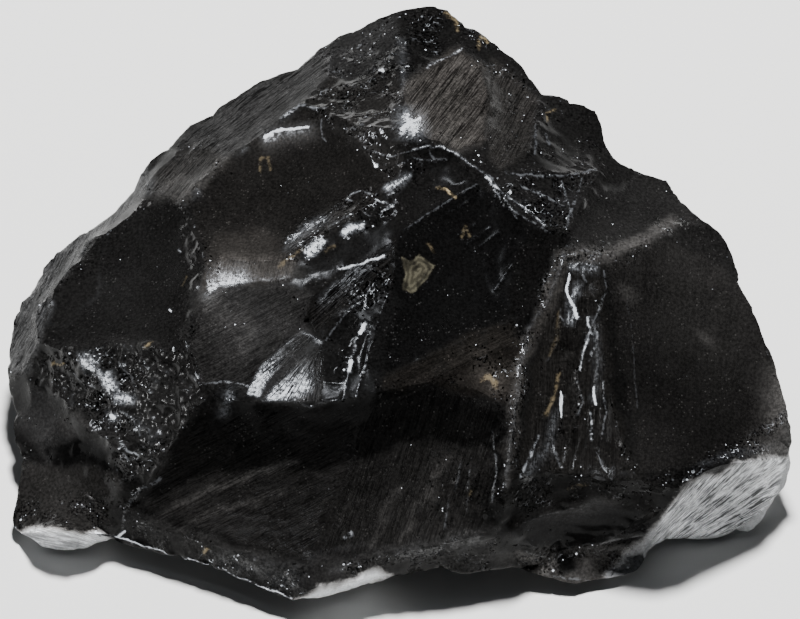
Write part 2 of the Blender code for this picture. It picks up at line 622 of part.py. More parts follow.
def back_sheet(points, outline, luck):
    rim = {i for edge in outline for i in edge}
    bulge = [in_plan(*place) for place in BULGE]
    wall = [in_plan(*place) for place in WALL]
    rest = [in_plan(*place) for place in RESTING_FACE]
    lines = [[corner("rim_foot")] + bulge + [corner("tail")]]
    lines += [[corner(start), wall[end]] for start, end in OUTLINE_TO_WALL]
    lines += [[wall[start], bulge[end]] for start, end in WALL_TO_BULGE]
    lines += [[wall[start], wall[end]] for start, end in WALL_TO_WALL]
    lines += [[bulge[start], rest[end]] for start, end in BULGE_TO_REST]
    lines += [[corner(start), rest[end]] for start, end in OUTLINE_TO_REST]
    ridges = points.line(rest + rest[:1], BACK_RIDGE_STEP, RESTING_WANDER, luck)
    for line in lines:
        ridges += points.line(line, BACK_RIDGE_STEP, OUTLINE_WANDER, luck)
    places = np.array(points.places)
    scars, walls = split_scars(places, outline, ridges)
    away = np.array([0.0, math.cos(LOOK_DOWN), -math.sin(LOOK_DOWN)])
    faces = []
    for scar in scars:
        resting = places[scar.reshape(-1), 2].max() < 1e-6
        hollow = 0.0 if resting else BACK_HOLLOW_SHARE * math.sqrt(area_of(places, scar))
        faces.append(dress_scar(points, scar, walls, rim, away, hollow, BACK_ROUGHNESS,
                                BACK_SCAR_STEP, luck))
    return faces


def black_glass():
    """Dense black volcanic glass: dark all through, and shiny where it broke cleanly."""
    material = bpy.data.materials.new("black_glass")
    material.use_nodes = True
    surface = material.node_tree.nodes["Principled BSDF"]
    surface.inputs["Base Color"].default_value = (0.012, 0.012, 0.012, 1.0)
    surface.inputs["Roughness"].default_value = 0.14
    surface.inputs["Metallic"].default_value = 0.0
    surface.inputs["IOR"].default_value = 1.5
    return material


def make_lump():
    luck = random.Random(SEED)
    points = Points()
    rim = [corner(c) for c in OUTLINE]
    outline = points.line(rim + rim[:1], RIDGE_STEP, OUTLINE_WANDER, luck)
    faces = np.concatenate(front_sheet(points, outline, luck) + back_sheet(points, outline, luck))
    places = np.array(points.places) * STEP_M
    low = places.min(axis=0)
    high = places.max(axis=0)
    places -= [(low[0] + high[0]) / 2, (low[1] + high[1]) / 2, low[2]]

    mesh = bpy.data.meshes.new("lump")
    mesh.from_pydata(places.tolist(), [], faces.tolist())
    form = bmesh.new()
    form.from_mesh(mesh)
    bmesh.ops.recalc_face_normals(form, faces=form.faces)
    form.to_mesh(mesh)
    form.free()
    mesh.shade_smooth()
    mesh.set_sharp_from_angle(angle=SHARP_ANGLE)
    mesh.materials.append(black_glass())
    lump = bpy.data.objects.new("lump", mesh)
    bpy.context.scene.collection.objects.link(lump)


clear_scene()
make_lump()
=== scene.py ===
"""A lump of black volcanic glass on a pale floor.

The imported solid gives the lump's scars and ridges. Here its surface is refined, its ridges are kept
sharp, and what breaking leaves on glass is carved into it: hackles, ripples, chips and crushed edges.
Places on the front are given on a drawing of the lump, in steps across and down from its top left.
"""

import math

import bpy
import numpy as np
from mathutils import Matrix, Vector


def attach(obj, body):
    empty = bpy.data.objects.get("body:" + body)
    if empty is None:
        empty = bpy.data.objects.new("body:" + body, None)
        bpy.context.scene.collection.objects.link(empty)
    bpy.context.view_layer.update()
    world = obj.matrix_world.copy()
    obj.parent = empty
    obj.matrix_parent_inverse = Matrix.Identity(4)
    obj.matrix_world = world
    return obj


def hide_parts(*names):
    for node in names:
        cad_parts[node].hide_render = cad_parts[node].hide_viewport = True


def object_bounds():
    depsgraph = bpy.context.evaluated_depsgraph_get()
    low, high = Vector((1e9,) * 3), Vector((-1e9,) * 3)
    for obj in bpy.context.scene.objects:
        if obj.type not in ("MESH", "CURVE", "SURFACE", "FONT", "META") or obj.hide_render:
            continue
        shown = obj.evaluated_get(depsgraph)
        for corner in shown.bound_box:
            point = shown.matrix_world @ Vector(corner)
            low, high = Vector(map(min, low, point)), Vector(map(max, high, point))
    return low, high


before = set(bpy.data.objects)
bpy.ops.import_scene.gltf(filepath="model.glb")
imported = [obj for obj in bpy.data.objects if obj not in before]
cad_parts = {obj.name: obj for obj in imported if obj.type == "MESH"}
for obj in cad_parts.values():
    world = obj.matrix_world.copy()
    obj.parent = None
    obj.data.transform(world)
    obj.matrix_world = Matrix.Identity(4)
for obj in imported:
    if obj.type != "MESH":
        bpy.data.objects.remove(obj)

SOLID_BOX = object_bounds()

# The drawing of the front: its step and width, how far it looks down, and where its middle lies.
STEP = 0.00018
WIDTH = 800
LOOK_DOWN = math.radians(52)
MIDDLE_ACROSS = 400.0
MIDDLE_DOWN = 310.0
MIDDLE_BACK = -67.81
TOWARDS = np.array([0.0, -math.cos(LOOK_DOWN), math.sin(LOOK_DOWN)])

# The key light's azimuth and elevation.
KEY = (264, 67)


def direction(azimuth, elevation):
    """The way to a light or a view: azimuth 0 is the front, 90 the right."""
    around, up = math.radians(azimuth), math.radians(elevation)
    return np.array([math.sin(around) * math.cos(up), -math.cos(around) * math.cos(up), math.sin(up)])


# The lean of a facet that throws the key light towards the drawing's view.
CATCHING = (TOWARDS + direction(*KEY)) / np.linalg.norm(TOWARDS + direction(*KEY))

# Ridges: folds under the first angle are smoothed away, those over the second stay sharp, and what
# is left over the third is shaded as sharp.
SOFT_FOLD = math.radians(9)
SHARP_FOLD = math.radians(20)
SHADED_SHARP = math.radians(38)
# The largest triangles, in square steps, that each round of refinement after the first leaves whole.
COARSEST = (7, 4.6, 1.3)
# More points than the mesh ever has, for numbering its edges.
MOST_POINTS = 1 << 24
# How far the lump's surface may pass the solid's box, and how high its resting face is, in steps.
BOX_MARGIN = 0.5
RESTING = 0.3


def drawn(points):
    """Places in the row frame as (across, down) on the drawing."""
    across = MIDDLE_ACROSS + points[:, 0] / STEP
    back = points[:, 1] / STEP + MIDDLE_BACK
    up = back * math.sin(LOOK_DOWN) + points[:, 2] / STEP * math.cos(LOOK_DOWN)
    return np.column_stack([across, MIDDLE_DOWN - up])


# ---------------------------------------------------------------- the mesh and its refinement


def solid_mesh(node):
    """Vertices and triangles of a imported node, with vertices at one place made one."""
    mesh = node.data
    mesh.calc_loop_triangles()
    places = np.empty(len(mesh.vertices) * 3, np.float32)
    mesh.vertices.foreach_get("co", places)
    faces = np.empty(len(mesh.loop_triangles) * 3, np.int32)
    mesh.loop_triangles.foreach_get("vertices", faces)
    places = places.reshape(-1, 3).astype(float)
    _, first, index = np.unique(
        np.round(places / 2e-6).astype(int), axis=0, return_index=True, return_inverse=True
    )
    faces = index.reshape(-1)[faces].reshape(-1, 3)
    whole = (faces[:, 0] != faces[:, 1]) & (faces[:, 1] != faces[:, 2]) & (faces[:, 0] != faces[:, 2])
    return places[first], faces[whole]


def face_spans(places, faces):
    """Each triangle's normal, as long as twice its area."""
    a, b, c = (places[faces[:, i]] for i in range(3))
    return np.cross(b - a, c - a)


def unit(vectors):
    """Each vector, made 1 long."""
    return vectors / np.maximum(np.linalg.norm(vectors, axis=1), 1e-20)[:, None]


def point_normals(places, faces):
    """The normal at each point, in which large triangles count for more."""
    spans = face_spans(places, faces)
    normals = np.zeros_like(places)
    for i in range(3):
        np.add.at(normals, faces[:, i], spans)
    return unit(normals)


def edges_of(faces):
    """Each edge once, and the three edges of every face: edge i runs from corner i to corner i + 1."""
    ends = np.concatenate([faces[:, [0, 1]], faces[:, [1, 2]], faces[:, [2, 0]]])
    edges, index = np.unique(np.sort(ends, axis=1), axis=0, return_inverse=True)
    return edges, index.reshape(3, -1).T


def fold_sharpness(places, faces, sides):
    """0 on an edge that is smoothed away, up to 1 on one that stays sharp."""
    normals = unit(face_spans(places, faces))
    order = np.argsort(sides.reshape(-1), kind="stable")
    owners = (order // 3).reshape(-1, 2)
    turn = (normals[owners[:, 0]] * normals[owners[:, 1]]).sum(axis=1)
    angle = np.arccos(np.clip(turn, -1, 1))
    return np.clip((angle - SOFT_FOLD) / (SHARP_FOLD - SOFT_FOLD), 0, 1)


def cut(faces, sides, marked, name):
    """Triangles cut at the marked edges, whose middles have those names, so that the mesh stays closed."""
    out = []
    pattern = marked[sides] @ np.array([1, 2, 4])
    a, b, c = faces.T
    ab, bc, ca = name[sides].T

    def add(which, *triangles):
        for triangle in triangles:
            out.append(np.column_stack([column[which] for column in triangle]))

    add(pattern == 0, (a, b, c))
    add(pattern == 7, (a, ab, ca), (ab, b, bc), (ca, bc, c), (ab, bc, ca))
    add(pattern == 1, (a, ab, c), (ab, b, c))
    add(pattern == 2, (a, b, bc), (a, bc, c))
    add(pattern == 4, (a, b, ca), (ca, b, c))
    add(pattern == 3, (ab, b, bc), (a, ab, bc), (a, bc, c))
    add(pattern == 6, (bc, c, ca), (a, b, bc), (a, bc, ca))
    add(pattern == 5, (a, ab, ca), (ab, b, c), (ab, c, ca))
    return np.concatenate(out)


def edge_points(places, faces, edges, sides, sharp):
    """Where Loop's subdivision puts each edge's new point: nearer to the edge's middle on a sharp one."""
    opposite = np.zeros((len(edges), 3))
    for i in range(3):
        np.add.at(opposite, sides[:, i], places[faces[:, (i + 2) % 3]])
    middles = places[edges].mean(axis=1)
    rounded = places[edges].sum(axis=1) * 3 / 8 + opposite / 8
    return rounded + (middles - rounded) * sharp[:, None]


def moved_points(places, edges, sharp):
    """Where it moves the old points: along a crease two sharp edges make, and little where more meet."""
    near = np.zeros_like(places)
    along = np.zeros_like(places)
    ring, sharp_ends, weight = np.zeros((3, len(places)))
    is_sharp = sharp > 0.3
    for i in (0, 1):
        here, other = edges[:, i], edges[:, 1 - i]
        np.add.at(near, here, places[other])
        np.add.at(ring, here, 1)
        np.add.at(along, here[is_sharp], places[other[is_sharp]])
        np.add.at(sharp_ends, here[is_sharp], 1)
        np.add.at(weight, here[is_sharp], sharp[is_sharp])
    pull = np.where(ring > 3, 3 / (8 * ring), 3 / 16)[:, None]
    smooth = places * (1 - ring[:, None] * pull) + near * pull
    crease = places * 0.75 + along * 0.125
    hold = np.clip(weight / np.maximum(sharp_ends, 1), 0, 1)[:, None]
    moved = smooth.copy()
    on_crease = sharp_ends == 2
    moved[on_crease] = (smooth + (crease - smooth) * hold)[on_crease]
    at_corner = sharp_ends > 2
    moved[at_corner] = (smooth + (places - smooth) * hold)[at_corner]
    return moved


def refined(places, faces, edges, sides, sharp, wanted):
    """One round of Loop's subdivision of the wanted triangles, in which sharp edges stay creases."""
    marked = np.zeros(len(edges), bool)
    marked[sides[wanted].reshape(-1)] = True
    new = edge_points(places, faces, edges, sides, sharp)[marked]
    moved = moved_points(places, edges, sharp)
    touched = np.zeros(len(places), bool)
    touched[edges[marked].reshape(-1)] = True
    moved[~touched] = places[~touched]

    name = np.full(len(edges), -1)
    name[marked] = len(places) + np.arange(marked.sum())
    halves = [np.column_stack([edges[marked, i], name[marked]]) for i in (0, 1)]
    kept = np.concatenate([*halves, edges[~marked]])
    values = np.concatenate([sharp[marked], sharp[marked], sharp[~marked]])
    faces = cut(faces, sides, marked, name)
    edges, sides = edges_of(faces)
    return np.concatenate([moved, new]), faces, edges, sides, carried(kept, values, edges)


def carried(kept, values, edges):
    """The sharpness of the new edges: those inside an old triangle have none."""
    key = edges[:, 0] * MOST_POINTS + edges[:, 1]
    kept = np.sort(kept, axis=1)
    sharp = np.zeros(len(edges))
    sharp[np.searchsorted(key, kept[:, 0] * MOST_POINTS + kept[:, 1])] = values
    return sharp


# ---------------------------------------------------------------- noise, chips and hackles


def hashed(cells, seed):
    """A number from 0 to 1 for every cell of whole coordinates."""
    mix = np.full(cells.shape[:-1], seed * 7919 + 12345, np.uint64)
    for i, prime in zip(range(cells.shape[-1]), (374761393, 668265263, 2246822519)):
        mix = mix ^ (cells[..., i].astype(np.int64).astype(np.uint64) * np.uint64(prime))
        mix = (mix ^ (mix >> np.uint64(15))) * np.uint64(2654435761)
        mix = mix & np.uint64(0xFFFFFFFFFF)
    mix = mix ^ (mix >> np.uint64(17))
    return (mix & np.uint64(0xFFFFFF)).astype(float) / float(0xFFFFFF)


def noise(points, seed):
    """Smooth value noise from -1 to 1, in as many dimensions as the points have."""
    low = np.floor(points)
    part = points - low
    ease = part * part * (3 - 2 * part)
    total = np.zeros(len(points))
    size = points.shape[1]
    for n in range(1 << size):
        bits = np.array([(n >> i) & 1 for i in range(size)])
        share = np.prod(np.where(bits, ease, 1 - ease), axis=1)
        total += share * hashed(low + bits, seed)
    return total * 2 - 1


def chips(points, size, seed, tilt, uneven):
    """Height over little scooped chips about size apart, with a sharp ridge between neighbours."""
    spots = points / size
    low = np.floor(spots)
    best = np.full(len(points), 9.0)
    for n in range(3 ** points.shape[1]):
        step = np.array([(n // 3 ** i) % 3 - 1 for i in range(points.shape[1])])
        cell = low + step
        jitter = np.column_stack([hashed(cell, seed + 10 + i) for i in range(points.shape[1])])
        away = spots - cell - jitter
        lean = np.column_stack([hashed(cell, seed + 20 + i) - 0.5 for i in range(points.shape[1])])
        rise = (away * away).sum(axis=1) + 2 * tilt * (away * lean).sum(axis=1)
        best = np.minimum(best, rise + uneven * hashed(cell, seed + 30))
    return best - 0.45


def crests(phase):
    """A wave of sharp crests and round hollows, from 0 to 1."""
    return 1 - np.abs(np.sin(math.pi * phase)) ** 0.8


def to_line(points, corners):
    """Distance of each point to a line of corners."""
    corners = np.array(corners, float)
    nearest = np.full(len(points), 1e9)
    for start, run in zip(corners, np.diff(corners, axis=0)):
        share = np.clip(((points - start) @ run) / (run @ run), 0, 1)
        nearest = np.minimum(nearest, np.linalg.norm(points - start - share[:, None] * run, axis=1))
    return nearest


def to_polygon(points, corners):
    """Distance of each point to the polygon's border, counted positive inside."""
    corners = np.array(corners + corners[:1], float)
    within = np.zeros(len(points), bool)
    for start, end in zip(corners[:-1], corners[1:]):
        across, down = end - start
        crosses = (start[1] > points[:, 1]) != (end[1] > points[:, 1])
        border = start[0] + (points[:, 1] - start[1]) * across / (down or 1e-12)
        within ^= crosses & (points[:, 0] < border)
    nearest = to_line(points, corners)
    return np.where(within, nearest, -nearest)


def about(points, corners, margin):
    """Which points lie in the corners' box, widened by a margin."""
    low = np.min(corners, axis=0) - margin
    high = np.max(corners, axis=0) + margin
    return np.all((points > low) & (points < high), axis=1)


def eased(value, low, high):
    """0 up to the low value, 1 from the high one, and smooth between."""
    share = np.clip((value - low) / (high - low), 0, 1)
    return share * share * (3 - 2 * share)


# ---------------------------------------------------------------- what breaking left on the front

# How far past its corners a carved place may reach, and how high a bright line stands, in steps.
PATCH_MARGIN = 8
BEAD_HEIGHT = 0.5

# Crushed places: their corners on the drawing, the size of the chips, how deep those are, and how
# thickly they glitter.
CHIPPED = {
    "left crush": ([(34, 352), (60, 346), (125, 342), (186, 343), (203, 386), (172, 444), (146, 484),
        (116, 462), (92, 430), (60, 400), (36, 380)], 10, 3.0, 0.14),
    "left core": ([(60, 352), (124, 346), (150, 368), (152, 410), (138, 440), (118, 440), (96, 425),
        (70, 392)], 8, 2.0, 0.85),
    "left ridge": ([(176, 196), (196, 202), (216, 262), (206, 300), (198, 350), (184, 345), (190, 270)],
        8, 2.0, 0.35),
    "left rim": ([(6, 380), (8, 320), (36, 262), (60, 240), (76, 250), (46, 300), (30, 376)], 9, 1.8, 0.15),
    "left chain": ([(116, 452), (172, 440), (150, 484), (130, 512), (112, 528), (118, 490)], 8, 2.0, 1.0),
    "under cap": ([(330, 76), (352, 88), (397, 62), (408, 100), (404, 126), (365, 128), (340, 118),
        (302, 105)], 15, 3.0, 1.0),
    "crushed corner": ([(300, 104), (340, 116), (410, 126), (403, 158), (398, 186), (377, 166), (358, 142),
        (330, 124)], 10, 2.2, 1.0),
    "cap": ([(320, 50), (345, 34), (398, 12), (400, 40), (397, 60), (378, 75), (350, 88), (328, 75)],
        22, 3.0, 0.8),
    "top right": ([(405, 14), (440, 10), (495, 46), (540, 100), (510, 120), (488, 90), (462, 52),
        (427, 68), (402, 80), (397, 50)], 26, 2.6, 1.0),
    "knob": ([(545, 98), (592, 112), (604, 150), (600, 170), (560, 172), (530, 150)], 18, 2.4, 0.4),
    "crushed knot": ([(484, 186), (520, 170), (548, 174), (600, 172), (590, 192), (576, 216), (566, 240),
        (545, 226), (510, 205)], 9, 2.6, 1.0),
    "glint row": ([(286, 262), (282, 240), (320, 212), (360, 190), (398, 186), (398, 214), (346, 242),
        (303, 264)], 13, 2.0, 1.0),
    "crushed triangle": ([(358, 282), (378, 262), (392, 270), (388, 300), (372, 312), (345, 314)],
        7, 1.2, 1.0),
    "crush band": ([(125, 515), (168, 530), (220, 545), (296, 568), (350, 562), (400, 552), (440, 543),
        (500, 530), (490, 572), (415, 574), (292, 600), (196, 564), (111, 542)], 9, 2.0, 1.0),
    "skirt": ([(510, 545), (560, 549), (600, 545), (628, 556), (636, 570), (600, 580), (520, 572)],
        11, 2.2, 1.0),
    "shelf": ([(515, 486), (545, 474), (610, 484), (655, 488), (645, 512), (600, 496), (560, 505),
        (520, 520), (508, 510)], 14, 2.2, 1.0),
    "spine": ([(556, 258), (530, 300), (518, 345), (510, 400), (503, 460), (496, 510), (514, 500),
        (524, 440), (530, 350), (548, 300), (580, 256)], 7, 1.6, 1.0),
    "rib": ([(560, 256), (604, 242), (648, 226), (676, 214), (684, 224), (652, 246), (640, 262),
        (604, 268), (566, 266)], 7, 2.0, 1.0),
    "wedge": ([(440, 382), (470, 360), (520, 340), (520, 400), (500, 400)], 13, 1.6, 1.0),
    "low right": ([(640, 480), (680, 486), (720, 462), (765, 455), (792, 440), (786, 410), (740, 440),
        (690, 468)], 9, 1.6, 1.0),
    "toe": ([(14, 500), (110, 500), (118, 530), (96, 534), (36, 534), (14, 530)], 14, 1.2, 0.6),
    "scoop end": ([(430, 452), (505, 440), (512, 520), (484, 540), (440, 546), (424, 500)], 8, 1.5, 0.35),
    "arc": ([(390, 142), (412, 134), (460, 140), (494, 172), (486, 188), (450, 168), (400, 182)],
        9, 1.8, 0.6),
}

# Hackled places: their corners, the point that the hackles spread from or how many degrees they rise
# to the right, the distance between hackles, how high they stand, and how plainly they show.
HACKLED = {
    "slope": ([(178, 142), (205, 118), (260, 84), (330, 46), (328, 76), (300, 105), (262, 135),
        (225, 160)], 38, 7, 0.9, 0.8),
    "striated edge": ([(146, 186), (176, 156), (203, 149), (225, 160), (204, 180), (182, 202), (164, 198)],
        50, 5, 0.7, 0.6),
    "brown hackles": ([(404, 82), (427, 70), (462, 52), (482, 68), (490, 100), (484, 142), (455, 152),
        (414, 128)], 52, 6, 0.9, 0.9),
    "right flank": ([(492, 60), (541, 98), (530, 148), (500, 170), (484, 142), (490, 100)],
        62, 9, 0.9, 0.6),
    "upper bevel": ([(284, 246), (300, 228), (335, 205), (350, 210), (318, 240), (300, 256)],
        38, 5, 0.9, 0.7),
    "bright hackles": ([(396, 240), (394, 262), (372, 280), (333, 318), (316, 332), (306, 312),
        (346, 272)], 42, 6, 1.0, 0.9),
    "silver step": ([(206, 262), (236, 258), (300, 250), (290, 282), (222, 286), (206, 290)],
        75, 5, 0.15, 0.25),
    "silver floor": ([(208, 290), (284, 285), (316, 296), (262, 372), (250, 398), (204, 384), (188, 346)],
        28, 6, 0.4, 0.45),
    "fan edge": ([(252, 400), (258, 378), (284, 340), (300, 330), (318, 336), (296, 356), (268, 382)],
        (330, 318), 5, 0.6, 0.8),
    "fan": ([(262, 400), (296, 362), (321, 345), (324, 370), (320, 404)], (326, 336), 4.5, 1.3, 1.0),
    "under pit": ([(400, 385), (386, 380), (420, 361), (470, 339), (524, 318), (520, 346), (440, 378)],
        24, 9, 1.2, 0.35),
    "flutes": ([(560, 262), (600, 258), (604, 330), (613, 410), (640, 480), (585, 476), (540, 470),
        (520, 470), (532, 400), (545, 320)], (600, -240), 9, 2.2, 0.35),
    "great right": ([(608, 258), (656, 236), (700, 222), (740, 290), (780, 385), (790, 430), (690, 470),
        (640, 470), (606, 372)], 84, 12, 0.3, 0.1),
    "scoop left": ([(135, 512), (150, 484), (190, 424), (250, 408), (360, 410), (350, 470), (310, 560),
        (168, 528)], 27, 9, 0.6, 0.45),
    "scoop right": ([(360, 410), (430, 386), (495, 404), (510, 440), (500, 500), (480, 535), (400, 550),
        (320, 560), (350, 470)], 72, 10, 0.7, 0.45),
    "white fold": ([(644, 560), (664, 508), (684, 486), (740, 462), (790, 456), (776, 500), (736, 534),
        (660, 545)], (600, 596), 7, 1.9, 1.0),
    "white lens": ([(14, 532), (50, 526), (96, 532), (100, 545), (60, 554), (20, 542)],
        (150, 560), 4, 0.5, 0.5),
    "rim": ([(6, 380), (8, 330), (36, 270), (84, 228), (146, 160), (150, 186), (96, 240), (50, 300),
        (30, 372)], 62, 5, 0.9, 0.9),
}

# Conchoidal ripples: their corners, the point that they circle, the distance between them, their height.
RIPPLED = {
    "great scar": ([(212, 158), (262, 135), (300, 105), (358, 140), (396, 185), (345, 223), (285, 250),
        (210, 258), (186, 200)], (410, 125), 17, 0.22),
    "left scar": ([(42, 340), (60, 284), (96, 236), (146, 196), (186, 205), (200, 262), (190, 345)],
        (200, 250), 19, 0.25),
    "pit": ([(402, 240), (480, 190), (560, 238), (524, 316), (420, 360), (386, 374)], (566, 240), 21, 0.22),
    "scoop": ([(190, 424), (250, 408), (440, 388), (508, 430), (470, 535), (300, 562), (150, 520)],
        (330, 380), 26, 0.3),
    "great right": ([(608, 258), (656, 236), (740, 290), (786, 400), (760, 450), (650, 470)],
        (600, 240), 30, 0.25),
    "oval": ([(512, 532), (560, 504), (600, 496), (640, 508), (640, 530), (600, 546), (545, 550)],
        (575, 580), 13, 0.22),
    "ear": ([(600, 172), (660, 182), (700, 220), (640, 244), (580, 252), (570, 235)], (566, 240), 15, 0.25),
    "pocket": ([(22, 462), (88, 465), (114, 476), (118, 510), (100, 530), (20, 525)], (120, 455), 14, 0.3),
}

# The tone, brownness, gloss and roughness of the front where no place says otherwise, and the gloss
# and roughness away from the front.
PLAIN_LOOK = (0.0045, 0.3, 0.10, 0.25)
AWAY_GLOSS = 0.5
AWAY_ROUGH = 0.18

# How places on the front look: their corners, tone, brownness, gloss and roughness. Hackled and crushed
# places are greyer in the glass itself; between the smooth facets, which are the same black glass, the
# differences in tone are painted reflection and shade.
LOOKS = {
    "great scar": ([(205, 150), (262, 130), (310, 95), (365, 140), (400, 190), (345, 223), (285, 250),
        (205, 258), (180, 200)], 0.0058, 0.5, 0.5, 0.15),
    "left scar": ([(42, 345), (60, 284), (96, 232), (150, 190), (190, 205), (205, 262), (190, 350)],
        0.0058, 0.3, 0.4, 0.18),
    "pit": ([(392, 240), (480, 180), (566, 238), (524, 318), (420, 365), (380, 374)],
        0.0028, 0.2, 0.05, 0.25),
    "scoop": ([(150, 480), (190, 418), (250, 404), (440, 384), (512, 430), (470, 540), (300, 566),
        (140, 520)], 0.0028, 0.3, 0.1, 0.2),
    "great right": ([(605, 258), (656, 232), (745, 285), (790, 400), (770, 450), (640, 475)],
        0.0068, 0.4, 0.5, 0.12),
    "scoop low": ([(140, 505), (220, 470), (330, 470), (420, 440), (500, 450), (480, 530), (400, 545),
        (300, 560), (170, 520)], 0.007, 0.4, 0.15, 0.3),
    "ear": ([(596, 172), (660, 178), (706, 222), (640, 246), (575, 254), (566, 235)],
        0.0075, 0.3, 0.7, 0.12),
    "slope": ([(172, 146), (200, 112), (260, 80), (330, 42), (332, 78), (303, 108), (262, 138),
        (225, 160)], 0.011, 0.2, 0.05, 0.4),
    "striated edge": ([(140, 190), (176, 150), (203, 145), (228, 160), (204, 184), (182, 206), (160, 202)],
        0.0095, 0.4, 0.15, 0.4),
    "cap": ([(318, 52), (345, 30), (400, 8), (402, 60), (378, 78), (350, 92), (326, 78)],
        0.01, 0.2, 0.25, 0.2),
    "under cap": ([(330, 76), (352, 88), (397, 62), (408, 100), (404, 130), (398, 186), (358, 150),
        (302, 105)], 0.0075, 0.4, 0.25, 0.2),
    "brown hackles": ([(402, 82), (427, 66), (462, 48), (486, 68), (492, 100), (486, 144), (455, 156),
        (412, 130)], 0.015, 0.6, 0.05, 0.45),
    "right flank": ([(490, 56), (545, 98), (534, 150), (500, 172), (484, 142), (490, 100)],
        0.0085, 0.5, 0.25, 0.3),
    "knob": ([(540, 92), (600, 108), (610, 150), (600, 172), (560, 174), (528, 150)],
        0.005, 0.3, 0.08, 0.3),
    "silver step": ([(203, 262), (212, 232), (262, 226), (300, 250), (292, 280), (222, 288), (203, 292)],
        0.0078, 0.6, 0.08, 0.45),
    "silver floor": ([(192, 288), (284, 284), (322, 296), (318, 330), (290, 345), (250, 392), (200, 382),
        (184, 346)], 0.0085, 0.3, 0.06, 0.5),
    "bright hackles": ([(398, 236), (398, 262), (390, 300), (340, 330), (312, 334), (300, 312),
        (335, 272)], 0.0042, 0.4, 0.08, 0.3),
    "upper bevel": ([(280, 248), (300, 222), (340, 200), (356, 206), (322, 244), (300, 260)],
        0.0065, 0.4, 0.12, 0.3),
    "fan": ([(252, 404), (258, 376), (300, 328), (324, 345), (330, 370), (322, 408)],
        0.012, 0.2, 0.15, 0.35),
    "blade": ([(322, 345), (350, 305), (385, 280), (398, 300), (372, 404), (322, 404)],
        0.0045, 0.2, 0.15, 0.25),
    "under pit": ([(385, 390), (386, 376), (420, 358), (470, 335), (528, 316), (524, 352), (505, 404),
        (440, 388)], 0.0055, 0.8, 0.04, 0.5),
    "flutes": ([(556, 258), (602, 256), (606, 330), (616, 410), (645, 482), (585, 480), (516, 474),
        (528, 402), (541, 315)], 0.006, 0.5, 0.15, 0.25),
    # The foot's facets are the same glass: their different tones are painted reflection and shade.
    "smooth foot": ([(40, 392), (92, 415), (118, 455), (112, 474), (50, 462), (20, 430), (12, 385)],
        0.0135, 0.2, 0.08, 0.3),
    "foot facet": ([(58, 398), (92, 414), (118, 448), (96, 452), (76, 438), (56, 428)],
        0.0185, 0.3, 0.1, 0.25),
    "foot side": ([(22, 372), (40, 386), (56, 402), (54, 436), (36, 440), (22, 410)],
        0.0165, 0.2, 0.1, 0.25),
    "foot lens": ([(48, 446), (80, 440), (118, 456), (120, 470), (90, 478), (56, 466)],
        0.003, 0.2, 0.1, 0.2),
    "pocket": ([(16, 462), (88, 465), (118, 476), (124, 515), (104, 534), (16, 530)],
        0.0128, 0.4, 0.2, 0.2),
    # The rim's grey tone is partly painted reflection of the floor behind it, and partly its crushed edge.
    "rim": ([(2, 380), (4, 320), (36, 264), (84, 222), (146, 150), (158, 186), (100, 236), (52, 292),
        (36, 372)], 0.024, 0.1, 0.1, 0.35),
    "left crush": ([(30, 355), (60, 342), (125, 338), (190, 343), (208, 390), (150, 490), (112, 466),
        (88, 424), (50, 392)], 0.008, 0.3, 0.35, 0.25),
    "crush band": ([(118, 505), (168, 524), (220, 540), (296, 560), (350, 556), (400, 546), (440, 537),
        (500, 524), (500, 575), (415, 578), (292, 606), (196, 570), (100, 545)], 0.0135, 0.3, 0.12, 0.35),
    "shelf": ([(506, 480), (545, 468), (610, 478), (662, 486), (650, 516), (600, 500), (560, 508),
        (515, 524)], 0.0065, 0.5, 0.12, 0.3),
    "oval": ([(505, 536), (560, 500), (600, 492), (648, 504), (650, 534), (600, 550), (540, 554)],
        0.0058, 0.2, 0.12, 0.15),
    "skirt": ([(500, 550), (545, 549), (600, 545), (640, 550), (640, 575), (600, 590), (500, 578)],
        0.023, 0.4, 0.15, 0.3),
    "skirt flake": ([(552, 556), (562, 551), (576, 556), (574, 570), (560, 573)], 0.003, 0.2, 0.1, 0.2),
    "knot": ([(478, 184), (520, 164), (560, 168), (604, 160), (620, 176), (592, 194), (578, 222),
        (566, 244), (540, 232)], 0.006, 0.3, 0.1, 0.25),
    "left scar edge": ([(54, 290), (72, 264), (102, 252), (98, 294), (68, 326), (50, 324)],
        0.006, 0.3, 0.0, 0.6),
    "knob foot": ([(590, 152), (614, 146), (634, 176), (624, 194), (602, 184)], 0.006, 0.3, 0.0, 0.6),
    "foot shade": ([(505, 482), (620, 474), (664, 486), (652, 520), (600, 500), (560, 508), (512, 532)],
        0.006, 0.4, 0.06, 0.3),
    "pit edge": ([(530, 226), (574, 232), (562, 290), (524, 345), (504, 318), (510, 270)],
        0.0035, 0.3, 0.0, 0.6),
    "spine": ([(558, 252), (574, 256), (556, 300), (536, 340), (526, 372), (518, 440), (508, 490),
        (500, 484), (508, 400), (518, 350), (540, 300)], 0.018, 0.6, 0.12, 0.35),
    "rib": ([(562, 250), (606, 246), (648, 232), (668, 214), (680, 222), (650, 246), (606, 262),
        (566, 264)], 0.024, 0.4, 0.1, 0.35),
    # The pale fold, lens and sliver: frosted hackles, painted paler than frost alone to stand in for their
    # reflection of the pale floor.
    "fold tail": ([(664, 514), (674, 536), (654, 556), (642, 580), (610, 590), (606, 575), (634, 548)],
        0.24, 0.0, 0.3, 0.4),
    "white fold": ([(640, 570), (662, 512), (684, 488), (740, 464), (800, 452), (800, 500), (736, 540),
        (660, 560)], 0.275, 0.0, 0.3, 0.4),
    "white lens": ([(10, 535), (50, 528), (96, 533), (112, 543), (60, 560), (14, 548)],
        0.62, 0.0, 0.5, 0.4),
    "white sliver": ([(294, 602), (330, 585), (380, 572), (388, 578), (340, 596), (300, 608)],
        0.85, 0.0, 0.5, 0.4),
}
